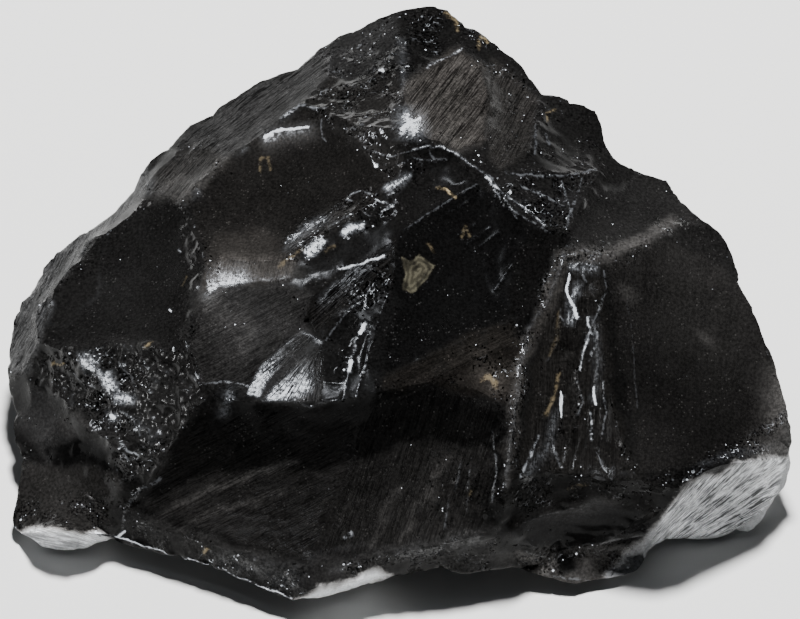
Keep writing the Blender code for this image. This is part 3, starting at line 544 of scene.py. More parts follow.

# Soft changes of tone: most are painted sheens, reflections and shade, such as the glancing grey along the
# right edge, the pale lower fold and the lighter upper and darker lower great right face, and a few are
# browns in the glass. For each: the line where it is strongest, how far it reaches, and what it adds.
SHEEN_AND_BROWN_TONES = {
    "right edge": ([(798, 392), (798, 440), (782, 462)], 26, 0.055),
    "right upper": ([(676, 258), (730, 300)], 48, 0.0022),
    "right lower": ([(650, 380), (720, 440)], 45, -0.0028),
    "right smudge": ([(700, 333), (708, 341)], 6, 0.01),
    "oval arcs": ([(548, 517), (590, 506), (612, 503)], 7, 0.013),
    "oval low": ([(600, 541), (642, 535)], 4, 0.014),
    "edge streak": ([(178, 200), (203, 178), (226, 160)], 5, 0.014),
    "scar light": ([(268, 141), (308, 133)], 11, 0.014),
    "scoop streak": ([(140, 526), (176, 508), (222, 484), (270, 470)], 3.5, 0.01),
    "scoop second": ([(176, 530), (226, 508), (282, 492)], 3, 0.01),
    "scoop third": ([(196, 500), (240, 476), (300, 462)], 2.5, 0.008),
    "scoop right": ([(402, 540), (420, 500), (446, 462)], 4, 0.009),
    "scoop far right": ([(372, 546), (386, 512), (400, 490)], 3, 0.008),
    "step haze": ([(208, 292), (228, 270), (262, 268), (290, 272)], 13, 0.022),
    "fold low": ([(684, 540), (740, 532), (776, 506)], 15, 0.24),
    "floor light": ([(210, 310), (250, 330), (240, 352)], 12, 0.008),
    "wedge brown": ([(484, 372), (494, 384)], 14, 0.012),
    "scar brown": ([(216, 246), (262, 236)], 13, 0.004),
    "lobe": ([(624, 290), (630, 300)], 6, 0.012),
    "slope foot": ([(184, 176), (150, 200)], 9, 0.004),
    "oval sheen": ([(560, 520), (600, 514)], 12, 0.005),
    "skirt light": ([(522, 556), (542, 567)], 6, 0.032),
    "skirt side": ([(586, 566), (616, 562)], 5, 0.022),
}

# Painted sheens of very fine hackles, in pale colour and in a lean of the shading normal towards the key
# light: the line where each is brightest, how far it reaches from there, its strength, and the corners that
# bound it.
SHEENS = {
    "step": ([(212, 288), (224, 284), (240, 281)], 17, 0.75, [(204, 264), (236, 260), (300, 262),
        (292, 279), (240, 284), (222, 287), (210, 294)]),
    "step right": ([(240, 281), (288, 279)], 14, 0.16, [(204, 264), (236, 260), (300, 262), (292, 279),
        (240, 284), (222, 287)]),
    "step glow": ([(206, 296), (216, 290)], 12, 0.2, [(196, 296), (212, 286), (240, 286), (236, 300),
        (206, 312)]),
    "scar light": ([(268, 139), (308, 130)], 15, 0.26, [(256, 130), (300, 120), (345, 122), (352, 150),
        (300, 162), (260, 158)]),
    "burst": ([(408, 121), (412, 128)], 17, 1.0, [(390, 104), (430, 104), (432, 144), (390, 144)]),
    "row block": ([(308, 254), (321, 242)], 10, 0.95, [(302, 251), (311, 238), (327, 239), (320, 256),
        (306, 262)]),
    "row patch": ([(343, 232), (360, 226)], 9, 0.85, [(336, 235), (349, 223), (365, 222), (361, 232),
        (344, 239)]),
    "row end": ([(388, 190), (408, 178)], 8, 0.6, [(380, 192), (404, 170), (414, 178), (394, 200)]),
    "bevel": ([(284, 245), (303, 231), (323, 219)], 12, 0.3, [(280, 252), (299, 226), (330, 210),
        (342, 215), (312, 236), (300, 251)]),
    "bright hackles": ([(322, 300), (344, 284), (366, 266)], 14, 0.22, [(312, 318), (318, 296), (346, 270),
        (382, 254), (372, 274), (336, 310)]),
    "fan band": ([(251, 391), (260, 378)], 44, 0.7, [(247, 393), (260, 368), (281, 345), (299, 332),
        (303, 339), (286, 357), (272, 376), (260, 397)]),
    "fan": ([(276, 398), (300, 384)], 26, 0.65, [(263, 402), (286, 374), (312, 349), (315, 364),
        (313, 396), (300, 402)]),
    "fan lip": ([(300, 334), (322, 342)], 7, 0.22, [(296, 330), (308, 328), (326, 340), (322, 348),
        (306, 342)]),
    "blade": ([(344, 399), (350, 368), (357, 342), (366, 322)], 5, 0.07, [(340, 402), (347, 364),
        (354, 336), (364, 316), (372, 322), (361, 352), (350, 402)]),
    "bottom": ([(222, 560), (292, 582)], 22, 0.17, [(180, 545), (300, 556), (336, 574), (296, 598),
        (220, 572)]),
    "bottom right": ([(400, 556), (440, 550), (480, 540)], 16, 0.12, [(380, 540), (500, 524), (492, 566),
        (400, 572)]),
    "low right": ([(700, 462), (740, 452), (770, 448)], 10, 0.16, [(680, 470), (720, 452), (776, 438),
        (786, 450), (740, 462), (690, 480)]),
    "crush first": ([(84, 361), (92, 369)], 12, 0.75, [(74, 352), (98, 350), (104, 376), (84, 378)]),
    "crush second": ([(104, 378), (110, 389)], 12, 0.85, [(94, 370), (114, 368), (124, 394), (104, 398)]),
    "crush third": ([(118, 399), (130, 402)], 10, 0.75, [(108, 392), (138, 390), (142, 408), (114, 410)]),
    "left spot": ([(111, 416), (114, 418)], 6, 0.8, [(102, 408), (122, 408), (124, 426), (104, 426)]),
    "left low": ([(140, 425), (152, 440)], 12, 0.2, [(128, 412), (160, 420), (164, 446), (138, 448)]),
    "low cluster": ([(222, 414), (228, 394)], 8, 0.35, [(212, 386), (236, 386), (236, 422), (212, 422)]),
    "columns block": ([(574, 268), (596, 270)], 9, 0.4, [(568, 262), (600, 260), (600, 278), (580, 280),
        (570, 276)]),
    "columns streak": ([(569, 322), (571, 300), (577, 287)], 10, 0.45, [(562, 326), (564, 290), (576, 278),
        (586, 284), (578, 306), (574, 328)]),
    "columns side": ([(592, 322), (598, 350), (594, 402)], 9, 0.22, [(582, 316), (602, 316), (606, 410),
        (588, 412), (590, 350)]),
    "columns foot": ([(556, 412), (548, 444), (526, 478)], 10, 0.24, [(540, 410), (566, 408), (562, 450),
        (536, 484), (516, 484), (530, 450)]),
    "knot": ([(500, 190), (540, 218), (572, 196)], 22, 0.05, [(482, 178), (520, 168), (600, 170),
        (588, 196), (566, 236), (540, 230)]),
    "spine": ([(565, 255), (549, 297), (528, 330), (522, 363), (515, 405), (505, 484)], 8, 0.16,
        [(556, 250), (574, 254), (536, 336), (518, 440), (510, 492), (498, 488), (516, 350)]),
    "crest": ([(400, 42), (404, 60), (404, 84)], 7, 0.22, [(392, 38), (412, 38), (414, 96), (394, 96)]),
    "rib": ([(604, 258), (650, 236), (672, 228)], 10, 0.05, [(596, 262), (650, 226), (690, 222),
        (660, 246), (612, 272)]),
}

# Painted glints along crushed lines and spots, in pale colour and in a lean of the shading normal towards the
# key light, each on a small raised bead: the line each follows, half its width, and how bright it is.
GLINTS = {
    "scar streak": ([(270, 134), (282, 130), (309, 128)], 2.3, 1.0),
    "scar spot": ([(265, 137), (271, 136)], 4.6, 1.0),
    "burst": ([(402, 130), (410, 124), (419, 119)], 3.6, 1.0),
    "burst ray": ([(407, 112), (411, 124), (418, 136)], 1.5, 0.66),
    "burst wing": ([(398, 124), (410, 126), (424, 131)], 1.5, 0.62),
    "crest line": ([(427, 68), (442, 60), (462, 50)], 1.3, 0.8),
    "row end": ([(388, 190), (396, 184), (409, 177)], 2.8, 0.8),
    "row block": ([(309, 252), (318, 244)], 3.6, 1.0),
    "row patch": ([(345, 232), (357, 227)], 2.8, 1.0),
    "row ring": ([(352, 202), (346, 200), (350, 195), (360, 192), (372, 195)], 1.0, 0.7),
    "row ring end": ([(376, 200), (393, 207), (382, 212)], 1.5, 0.8),
    "row line": ([(285, 243), (301, 232), (321, 221)], 0.9, 0.8),
    "second line": ([(328, 227), (341, 221), (353, 215)], 1.0, 0.6),
    "step edge": ([(210, 291), (222, 285), (240, 283), (262, 281), (287, 279)], 1.1, 0.6),
    "bright line": ([(340, 270), (352, 266), (364, 264), (384, 256)], 1.3, 0.9),
    "scar crush": ([(281, 120), (299, 106), (310, 107), (326, 108)], 1.6, 0.7),
    "scar fold": ([(322, 120), (322, 137), (328, 144)], 1.0, 0.6),
    "scar patch": ([(350, 131), (362, 126)], 2.6, 0.5),
    "corner line": ([(364, 147), (377, 154), (391, 157), (419, 149)], 1.1, 0.6),
    "fan edge": ([(250, 388), (268, 366), (284, 348), (300, 333), (307, 334), (322, 342)], 1.0, 0.6),
    "blade": ([(343, 399), (350, 368), (357, 342), (365, 322)], 0.3, 0.7),
    "blade spot": ([(361, 333), (364, 327)], 4.8, 1.0),
    "blade low spot": ([(349, 371), (351, 364)], 4.4, 1.0),
    "blade side": ([(371, 326), (370, 342), (365, 363), (356, 397)], 0.5, 0.65),
    "blade top": ([(325, 342), (336, 326), (353, 307), (364, 299), (376, 281)], 0.9, 0.6),
    "floor lip": ([(189, 375), (200, 385), (226, 382), (253, 388)], 1.3, 0.6),
    "crest lip": ([(278, 401), (301, 403), (310, 408), (321, 403), (342, 400)], 1.0, 0.5),
    "crush first": ([(83, 360), (87, 364)], 2.4, 0.74),
    "crush second": ([(95, 371), (99, 374)], 1.8, 0.74),
    "crush third": ([(106, 378), (110, 387), (107, 391)], 2.4, 0.74),
    "crush fourth": ([(113, 397), (122, 398), (130, 402)], 1.8, 0.74),
    "crush fold": ([(70, 372), (84, 384), (96, 388)], 0.9, 0.6),
    "crush side": ([(120, 366), (132, 378), (136, 392)], 0.9, 0.55),
    "crush low": ([(120, 412), (134, 420), (140, 436)], 1.1, 0.6),
    "crush foot": ([(122, 444), (128, 452), (138, 456)], 1.5, 0.7),
    "left top star": ([(179, 251), (181, 253)], 1.3, 0.8),
    "left spot": ([(111, 416), (114, 418)], 2.6, 1.0),
    "left star": ([(170, 310), (172, 312)], 1.6, 1.0),
    "knot line": ([(486, 178), (510, 198), (545, 225)], 1.3, 0.8),
    "knot fold": ([(495, 190), (506, 206), (530, 222)], 1.0, 0.7),
    "knot top": ([(505, 174), (560, 177), (596, 170)], 1.0, 0.65),
    "knot middle": ([(520, 186), (545, 196), (562, 206)], 1.2, 0.7),
    "knot side": ([(562, 182), (566, 198), (572, 218)], 1.4, 0.7),
    "knot edge": ([(582, 180), (574, 206), (566, 226)], 1.0, 0.65),
    "knot foot": ([(512, 210), (530, 222), (552, 232)], 0.9, 0.6),
    "arc": ([(412, 150), (426, 146), (442, 147), (454, 153), (466, 162), (475, 169)], 1.3, 0.78),
    "arc end": ([(475, 169), (490, 177), (500, 190), (517, 219)], 1.1, 0.7),
    "arc low": ([(398, 166), (410, 158), (424, 160), (436, 163)], 1.0, 0.66),
    "arc side": ([(430, 152), (434, 160), (446, 160)], 1.6, 0.6),
    "thread": ([(404, 230), (440, 206), (478, 184)], 0.6, 0.6),
    "lower thread": ([(440, 218), (470, 200)], 0.7, 0.35),
    "pit hatch": ([(458, 236), (476, 224)], 0.5, 0.4),
    "pit hatch second": ([(466, 244), (490, 228)], 0.5, 0.4),
    "pit hatch third": ([(478, 248), (500, 232)], 0.5, 0.35),
    "scratch": ([(495, 290), (512, 265)], 0.6, 0.4),
    "pit foot": ([(420, 360), (470, 337), (520, 317)], 0.7, 0.2),
    "column block": ([(569, 268), (580, 263), (597, 268)], 1.5, 0.8),
    "column drop": ([(584, 266), (582, 274), (586, 282)], 1.8, 0.6),
    "column streak": ([(569, 274), (567, 292), (571, 302), (577, 318)], 1.9, 1.0),
    "column hook": ([(577, 316), (568, 324), (560, 318)], 1.0, 0.6),
    "column thread": ([(604, 271), (606, 292), (593, 324)], 1.1, 0.6),
    "column side": ([(588, 318), (590, 332), (583, 355), (580, 371)], 1.6, 0.85),
    "column cross": ([(598, 326), (596, 346), (590, 362)], 1.2, 0.7),
    "column low side": ([(577, 382), (583, 403), (577, 416)], 0.9, 0.6),
    "column spots": ([(561, 392), (561, 418)], 1.6, 1.0),
    "column edge": ([(590, 413), (592, 440)], 1.4, 0.8),
    "column spot": ([(594, 387), (596, 405)], 1.8, 1.0),
    "column far side": ([(602, 382), (606, 413), (602, 434)], 0.9, 0.65),
    "column root": ([(596, 450), (602, 468), (612, 480)], 0.9, 0.5),
    "olive edge": ([(560, 310), (556, 345), (547, 362)], 0.8, 0.45),
    "low silver": ([(538, 437), (531, 456), (520, 476)], 2.6, 0.75),
    "lower silver": ([(551, 440), (555, 452), (561, 468)], 1.6, 0.6),
    "ear rim": ([(566, 246), (580, 250), (600, 254)], 0.9, 0.5),
    "spine": ([(565, 255), (549, 297), (528, 330), (522, 363), (515, 405), (511, 438), (505, 484)],
        2.2, 0.5),
    "right line": ([(627, 300), (633, 350), (637, 410)], 0.6, 0.42),
    "right rim": ([(667, 180), (690, 200), (713, 226)], 1.5, 0.65),
    "scoop streak": ([(462, 460), (455, 490)], 1.3, 0.5),
    "scoop cluster": ([(344, 538), (351, 534)], 3.0, 0.7),
    "chain": ([(120, 450), (130, 465)], 2.0, 0.6),
    "chain foot": ([(160, 480), (140, 490), (125, 510), (121, 534)], 1.8, 0.6),
    "chain end": ([(119, 537), (124, 531)], 2.6, 0.9),
    "skirt rim": ([(505, 577), (560, 578), (596, 583), (626, 573)], 0.8, 0.6),
    "skirt ridge": ([(524, 552), (548, 558), (552, 570)], 0.7, 0.5),
    "scoop end": ([(493, 432), (497, 470), (492, 502)], 1.0, 0.6),
    "scoop end side": ([(470, 470), (466, 512)], 0.8, 0.5),
    "scoop end low": ([(448, 500), (444, 532)], 0.8, 0.5),
    "oval arc": ([(520, 525), (545, 515), (590, 505)], 0.7, 0.35),
    "oval line": ([(545, 550), (600, 543), (645, 535)], 0.7, 0.4),
    "toe line": ([(95, 533), (130, 541), (165, 553), (215, 568), (292, 599)], 1.0, 0.92),
    "cap spot": ([(380, 72), (384, 72)], 2.4, 0.9),
    "cap seam": ([(333, 42), (330, 58), (328, 75)], 0.9, 0.35),
    "flank": ([(536, 126), (534, 155)], 1.3, 0.6),
    "flank side": ([(546, 135), (549, 145)], 1.6, 0.6),
}

# Tan marks in the glass: the line each follows, half its width, and how strong it is.
TANS = {
    "scar mark": ([(260, 171), (261, 158), (269, 159), (270, 171)], 1.2, 0.4),
    "yellow sliver": ([(438, 189), (447, 191), (456, 198)], 1.5, 0.9),
    "row streak": ([(304, 249), (292, 257), (280, 266)], 2.2, 0.45),
    "row end": ([(326, 251), (334, 246)], 1.5, 0.4),
    "top ring": ([(479, 47), (478, 41), (484, 38), (488, 43)], 1.2, 0.6),
    "hook": ([(547, 122), (546, 114), (555, 109)], 0.9, 0.5),
    "left mark": ([(50, 366), (54, 363), (59, 366), (63, 364)], 0.8, 0.6),
    "crush mark": ([(144, 346), (150, 344)], 1.3, 0.6),
    "bump mark": ([(187, 277), (182, 286)], 1.4, 0.3),
    "pit mark": ([(462, 238), (466, 226), (470, 236)], 1.1, 0.45),
    "pit low mark": ([(428, 245), (433, 252)], 1.2, 0.4),
    "wedge mark": ([(482, 380), (490, 377), (496, 386)], 4.5, 0.5),
    "flute mark": ([(559, 374), (556, 392), (546, 414)], 2.4, 0.5),
    "olive ribbon": ([(558, 312), (556, 340), (549, 356)], 2.4, 0.28),
    "toe mark": ([(203, 553), (206, 550)], 1.8, 0.9),
    "shelf mark": ([(568, 489), (580, 486), (588, 485)], 1.6, 0.35),
    "foot mark": ([(469, 495), (471, 491)], 1.6, 0.5),
    "pale chip": ([(445, 13), (456, 20), (457, 30)], 2.6, 0.5),
}

# The corners of a tan inclusion with rings in the glass of the pit, and the distance between rings.
RINGED = [(401, 257), (411, 262), (419, 255), (435, 266), (427, 280), (413, 294), (401, 290), (405, 275)]
RING_SPACING = 4.6

# Corners of the places on the front that are cut once more, for their fine relief.
FINE_PLACES = [
    [(192, 236), (236, 250), (286, 236), (345, 196), (410, 184), (402, 262), (392, 300), (372, 400),
        (250, 408), (186, 346)],
    [(300, 100), (345, 84), (404, 80), (412, 126), (460, 150), (520, 166), (604, 168), (600, 200),
        (560, 262), (604, 256), (626, 450), (560, 482), (508, 510), (500, 460), (530, 300), (545, 232),
        (480, 190), (440, 145), (404, 190), (360, 150)],
    [(40, 352), (186, 343), (203, 390), (150, 484), (118, 462), (92, 430), (50, 392)],
    [(644, 565), (664, 508), (684, 484), (740, 458), (792, 450), (776, 500), (736, 536)],
]


def on_drawing(at, corners, soft):
    """1 well inside the corners, 0 well outside."""
    return eased(to_polygon(at, corners), -soft, soft)


def across_hackles(at, heading):
    """How far a point lies across the hackles, and along them, in steps."""
    if isinstance(heading, tuple):
        away = at - np.array(heading, float)
        reach = np.linalg.norm(away, axis=1)
        turn = np.arctan2(away[:, 1], away[:, 0])
        return turn * np.median(reach), reach
    slant = math.radians(heading)
    aside = at[:, 0] * math.sin(slant) + at[:, 1] * math.cos(slant)
    ahead = at[:, 0] * math.cos(slant) - at[:, 1] * math.sin(slant)
    return aside, ahead


def patches(at, table, soft):
    """For each place of a table: its number, the points near it, how much each is in it, and the rest."""
    for n, (corners, *rest) in enumerate(table.values()):
        near = about(at, corners, PATCH_MARGIN)
        yield n, near, on_drawing(at[near], corners, soft), rest


def crush(at, steps, height, marks):
    """Scoops chips out of the crushed places, and marks how thickly they glitter."""
    for n, near, share, (size, depth, glittering) in patches(at, CHIPPED, 5):
        height[near] += share * depth * chips(steps[near], size, 40 + n, 0.9, 0.7)
        marks["crushed"][near] = np.maximum(marks["crushed"][near], glittering * share)


def hackle_height(aside, ahead, spacing, seed):
    """Crests that sway and fade along their length, from 0 to 1."""
    sway = noise(np.column_stack([aside / 30, ahead / 60]), seed) * 1.6
    wave = crests(aside / spacing + sway)
    fade = 0.5 + 0.5 * noise(np.column_stack([aside / (spacing * 1.7), ahead / 38]), seed + 1)
    return wave * fade


def hackle(at, height, marks):
    """Raises the hackles, and marks which way they run and how plainly they show."""
    for n, near, share, (heading, spacing, tall, plain) in patches(at, HACKLED, 6):
        aside, ahead = across_hackles(at[near], heading)
        height[near] += share * tall * hackle_height(aside, ahead, spacing, 90 + n)
        strongest = share > 0.5
        rows = np.where(near)[0][strongest]
        marks["grain"][rows] = np.column_stack([aside, ahead, share * plain])[strongest]


def ripple(at, height):
    """Makes the rounded waves of conchoidal breaks."""
    for n, near, share, (source, spacing, tall) in patches(at, RIPPLED, 10):
        reach = np.linalg.norm(at[near] - np.array(source, float), axis=1)
        sway = noise(at[near] / 45, 150 + n) * 1.2
        height[near] += share * tall * np.sin(2 * math.pi * (reach / spacing + sway))


def raise_lines(at, height):
    """Raises a small bead along each bright line."""
    for corners, half, _ in GLINTS.values():
        around = about(at, corners, half + 2)
        gap = to_line(at[around], corners) / (half + 1.5)
        height[around] += BEAD_HEIGHT * np.clip(1 - gap * gap, 0, 1)


def swayed(at, size, seed):
    """A random shift for each point, across and down, that changes over about that many steps."""
    return np.column_stack([noise(at / size, seed), noise(at / size, seed + 1)])


def line_cover(at, lines):
    """How strongly each point is covered by a table of lines whose edges waver."""
    sway = swayed(at, 9, 201) * 0.9 + swayed(at, 3, 203) * 0.4
    swell = 0.75 + 0.5 * noise(at / 8, 205)
    cover = np.zeros(len(at))
    for corners, half, strength in lines.values():
        around = about(at, corners, half + 4)
        gap = to_line((at + sway)[around], corners)
        width = half * swell[around]
        share = strength ** 2 * (1 - eased(gap, 0.35 * width, width + 0.9))
        cover[around] = np.maximum(cover[around], share)
    return cover


def paint_front(at, marks):
    """The look of each place on the front, for the material: its tones, in which reflection and shade are
    partly painted, and its painted sheens and glints.
    """
    look = np.tile(PLAIN_LOOK, (len(at), 1))
    sway = swayed(at, 16, 211) * 4.0 + swayed(at, 5, 213) * 1.5
    for corners, *wanted in LOOKS.values():
        near = about(at, corners, 15)
        share = on_drawing((at + sway)[near], corners, 4)[:, None]
        look[near] += share * (np.array(wanted) - look[near])
    # Painted sheens, reflections and shade, and a few browns in the glass, along lines.
    for line, reach, change in SHEEN_AND_BROWN_TONES.values():
        around = about(at, line, 3 * reach)
        gap = to_line((at + sway)[around], line) / reach
        look[around, 0] += change * np.exp(-gap * gap)
    marks["tone"], marks["smoky"], marks["gloss"], marks["rough"] = look.T
    # Painted sheens: how strongly each point is painted with a pale sheen.
    for line, reach, strength, corners in SHEENS.values():
        around = about(at, corners, 4)
        place = (at + 0.5 * sway)[around]
        fall = np.exp(-2 * to_line(place, line) / reach) * on_drawing(place, corners, 2.5)
        marks["silver"][around] = np.maximum(marks["silver"][around], strength * fall)
    marks["ringed"] = to_polygon(at, RINGED)
    # Painted glints; then tan marks, which are in the glass.
    marks["glint"] = line_cover(at, GLINTS)
    marks["tan"] = line_cover(at, TANS)


# ---------------------------------------------------------------- the skin


def near_lines(at, reach):
    """Which points lie close to a glint or a tan mark."""
    close = np.zeros(len(at), bool)
    for corners, half, _ in [*GLINTS.values(), *TANS.values()]:
        around = about(at, corners, half + reach)
        close[around] |= to_line(at[around], corners) < half + reach
    return close


def worth_cutting(places, faces, turn):
    """Which triangles a round cuts: all of them, then the front's, then those at its finest relief."""
    if turn == 0:
        return np.ones(len(faces), bool)
    spans = face_spans(places, faces)
    facing = unit(spans) @ TOWARDS
    wanted = np.linalg.norm(spans, axis=1) / 2 > COARSEST[turn - 1] * STEP ** 2
    if turn == 1:
        return wanted & (facing > -0.25)
    at = drawn(places[faces].mean(axis=1))
    fine = near_lines(at, 2 if turn == 2 else 0.5)
    if turn == 2:
        for corners in FINE_PLACES:
            fine |= to_polygon(at, corners) > 0
    return wanted & fine & (facing > 0.02)


def refined_solid(node):
    """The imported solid's surface, smoothed and cut finer where the drawing has its finest relief."""
    places, faces = solid_mesh(node)
    edges, sides = edges_of(faces)
    sharp = fold_sharpness(places, faces, sides)
    for turn in range(len(COARSEST) + 1):
        wanted = worth_cutting(places, faces, turn)
        places, faces, edges, sides, sharp = refined(places, faces, edges, sides, sharp, wanted)
    ridge = np.zeros(len(places))
    for i in (0, 1):
        np.maximum.at(ridge, edges[:, i], sharp)
    return places, faces, edges, ridge


def spread(value, edges, rounds):
    """Lets a mark on points fade out over their neighbours."""
    for _ in range(rounds):
        total = value.copy()
        count = np.ones(len(value))
        for i in (0, 1):
            np.add.at(total, edges[:, i], value[edges[:, 1 - i]])
            np.add.at(count, edges[:, i], 1)
        value = np.maximum(value * 0.85, total / count)
    return value


def weathered(steps, ridge, front):
    """Height added all over: flakes away from the front, chipped ridges and a slight unevenness."""
    flakes = 1.6 * chips(steps, 34, 7, 0.8, 0.6) + 0.7 * chips(steps, 12, 8, 0.8, 0.6)
    chipped = 1.1 * ridge * chips(steps, 6.5, 9, 0.9, 0.8)
    uneven = 0.5 * noise(steps / 22, 11) + 0.18 * noise(steps / 7, 12)
    return (1 - front) * flakes + chipped + uneven


def front_only(marks, front, ridge, clusters):
    """Fades the marks out away from the front, and lets the ridges glitter in clusters."""
    marks["gloss"] += (1 - front) * (AWAY_GLOSS - marks["gloss"])
    marks["rough"] += (1 - front) * (AWAY_ROUGH - marks["rough"])
    marks["silver"] *= front
    marks["grain"][:, 2] *= front
    marks["crushed"] = np.maximum(marks["crushed"] * (front * clusters), 0.6 * ridge * clusters)
    marks["front"] = front


def skin_shape(node):
    """The refined and carved skin: places, triangles, and the marks that its material reads."""
    places, faces, edges, ridge = refined_solid(node)
    normals = point_normals(places, faces)
    at = drawn(places)
    steps = places / STEP
    front = eased(normals @ TOWARDS, 0.0, 0.12)
    ridge = spread(ridge, edges, 2)
    marks = {"crushed": np.zeros(len(places)), "silver": np.zeros(len(places)),
             "grain": np.column_stack([*across_hackles(at, 40), np.zeros(len(places))])}
    height = np.zeros(len(places))
    crush(at, steps, height, marks)
    hackle(at, height, marks)
    ripple(at, height)
    raise_lines(at, height)
    paint_front(at, marks)
    front_only(marks, front, ridge, eased(noise(steps / 16, 13), -0.45, 0.35))
    height = height * front + weathered(steps, ridge, front)
    height[places[:, 2] < RESTING * STEP] = 0
    places = places + normals * (height * STEP)[:, None]
    low, high = (np.array(corner) for corner in SOLID_BOX)
    places = np.clip(places, low - BOX_MARGIN * STEP, high + BOX_MARGIN * STEP)
    places[:, 2] = np.maximum(places[:, 2], 0)
    return places, faces, marks


SKIN_MARKS = ("crushed", "silver", "front", "tone", "smoky", "gloss", "rough", "ringed", "glint", "tan")


def make_skin(node):
    """The lump's one piece, with the marks as attributes that its material reads."""
    places, faces, marks = skin_shape(node)
    mesh = bpy.data.meshes.new("lump_skin")
    mesh.from_pydata(places.tolist(), [], faces.tolist())
    mesh.shade_smooth()
    mesh.set_sharp_from_angle(angle=SHADED_SHARP)
    for name in SKIN_MARKS:
        mesh.attributes.new(name, "FLOAT", "POINT").data.foreach_set("value", marks[name])
    grain = mesh.attributes.new("grain", "FLOAT_VECTOR", "POINT")
    grain.data.foreach_set("vector", marks["grain"].reshape(-1))
    mesh.materials.append(black_glass())
    skin = bpy.data.objects.new("lump_skin", mesh)
    bpy.context.scene.collection.objects.link(skin)
    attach(skin, "root")
    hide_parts("lump")


# ---------------------------------------------------------------- materials

# How fine the material's noise and cells are, in features per metre.
BROKEN_SCALE = 1000.0
LARGE_SPECKS = 1700.0
SMALL_SPECKS = 3000.0
DUST_SPECKS = 2600.0
LARGE_FACETS = 1300.0
SMALL_FACETS = 2600.0
FLAKE_SCALE = 520.0
GRIT_SCALE = 1800.0
MOTTLE_SCALE = 2000.0
DRIFT_SCALE = 70.0
# How high the bumps of dust and hackle strands stand, in metres.
BUMP_HEIGHT = 0.0003

# The glass's tints, the pale colour painted for its highlights, the colours of its tan and ringed marks, and
# the floor's.
COOL_TINT = (0.98, 1.0, 1.03, 1)
BROWN_TINT = (1.15, 1.0, 0.86, 1)
PAINTED_HIGHLIGHT = (0.86, 0.91, 1.0)
TAN = (0.34, 0.27, 0.16, 1)
RING = (0.080, 0.074, 0.052, 1)
PAPER = (0.80, 0.80, 0.79, 1)


def fill(node, inputs):
    """Sets a node's inputs, by name or number, to numbers or colours, or joins them to Values."""
    for key, value in inputs.items():
        if isinstance(value, Value):
            node.id_data.links.new(value.socket, node.inputs[key])
        else:
            node.inputs[key].default_value = value


def added(tree, kind, inputs, **settings):
    """A new shader node with those inputs and settings."""
    node = tree.nodes.new("ShaderNode" + kind)
    for name, value in settings.items():
        setattr(node, name, value)
    fill(node, inputs)
    return node


class Value:
    """A number out of a shader node, with which sums, products and other steps are written out."""

    kind = "Math"

    def __init__(self, socket):
        self.socket = socket
        self.tree = socket.id_data

    def step(self, operation, *others, **settings):
        inputs = dict(enumerate((self, *others)))
        return type(self)(added(self.tree, self.kind, inputs, operation=operation, **settings).outputs[0])

    def __add__(self, other):
        return self.step("ADD", other)

    def __sub__(self, other):
        return self.step("SUBTRACT", other)

    def __mul__(self, other):
        return self.step("MULTIPLY", other)

    def __pow__(self, other):
        return self.step("POWER", other)

    def __abs__(self):
        return self.step("ABSOLUTE")

    def larger(self, other):
        return self.step("MAXIMUM", other)

    def taken_from(self, whole):
        return Value(added(self.tree, "Math", {0: whole, 1: self}, operation="SUBTRACT").outputs[0])

    def of(self, vector):
        """The vector, made that many times as long."""
        return Arrow(added(self.tree, "VectorMath", {0: vector, "Scale": self}, operation="SCALE").outputs[0])

    def eased(self, low, high, first=0.0, second=1.0):
        inputs = dict(enumerate((self, low, high, first, second)))
        return Value(added(self.tree, "MapRange", inputs, interpolation_type="SMOOTHSTEP").outputs[0])

    def mixed(self, first, second):
        """The first colour where this is 0, and the second where it is 1."""
        inputs = {"Factor": self, "A": first, "B": second}
        return Arrow(added(self.tree, "Mix", inputs, data_type="RGBA").outputs["Result"])


class Arrow(Value):
    """A place, a direction or a colour out of a shader node."""

    kind = "VectorMath"

    def unit(self):
        return self.step("NORMALIZE")

    def noise(self, scale, detail=2.0, rough=0.5):
        inputs = {"Vector": self, "Scale": scale, "Detail": detail, "Roughness": rough}
        return Value(added(self.tree, "TexNoise", inputs).outputs["Fac"])

    def cells(self, scale, density):
        """Cells of that scale: how far each point is from its cell's middle, the cell's random colour,
        the red of it, and 1 in that share of the cells."""
        node = added(self.tree, "TexVoronoi", {"Vector": self, "Scale": scale}, feature="F1")
        colour = Arrow(node.outputs["Color"])
        parts = added(self.tree, "SeparateColor", {0: colour}).outputs
        chosen = Value(parts["Blue"]).step("LESS_THAN", density)
        return Value(node.outputs["Distance"]), colour, Value(parts["Red"]), chosen


def mark(tree, name):
    """A mark of the skin."""
    return Value(added(tree, "Attribute", {}, attribute_name=name).outputs["Fac"])


def glitter(place, scale, density, lean):
    """A random lean for some of the tiny facets of crushed glass, as a vector to add to the normal."""
    _, random, _, chosen = place.cells(scale, density)
    return (chosen * lean).of(random - (0.5, 0.5, 0.5))


def specks(place, scale, density):
    """Scattered round specks of uneven brightness, over that share of the cells: painted glints of crushed
    glass, and also pale dust.
    """
    distance, _, red, chosen = place.cells(scale, density)
    return chosen * distance.eased(0.55, 0.25) * red ** 2.0


def flake_edges(place):
    """Short curved lines, painted glints on the edges of tiny flakes, from 0 to 1."""
    line = abs(place.noise(FLAKE_SCALE, 2.0, 0.6) - 0.5).eased(0.030, 0.004)
    elsewhere = place + (0.31, 0.17, 0.73)
    return line * elsewhere.noise(FLAKE_SCALE * 1.3, 1.0).eased(0.50, 0.66)


def strand_lines(aside, ahead, across, along):
    """Thin lines along the hackles, from 0 to 1."""
    strands = added(aside.tree, "CombineXYZ", {0: aside * across, 1: ahead * along}).outputs[0]
    return abs(Arrow(strands).noise(1.0, 3.0, 0.6) - 0.5).eased(0.13, 0.0) ** 2.0


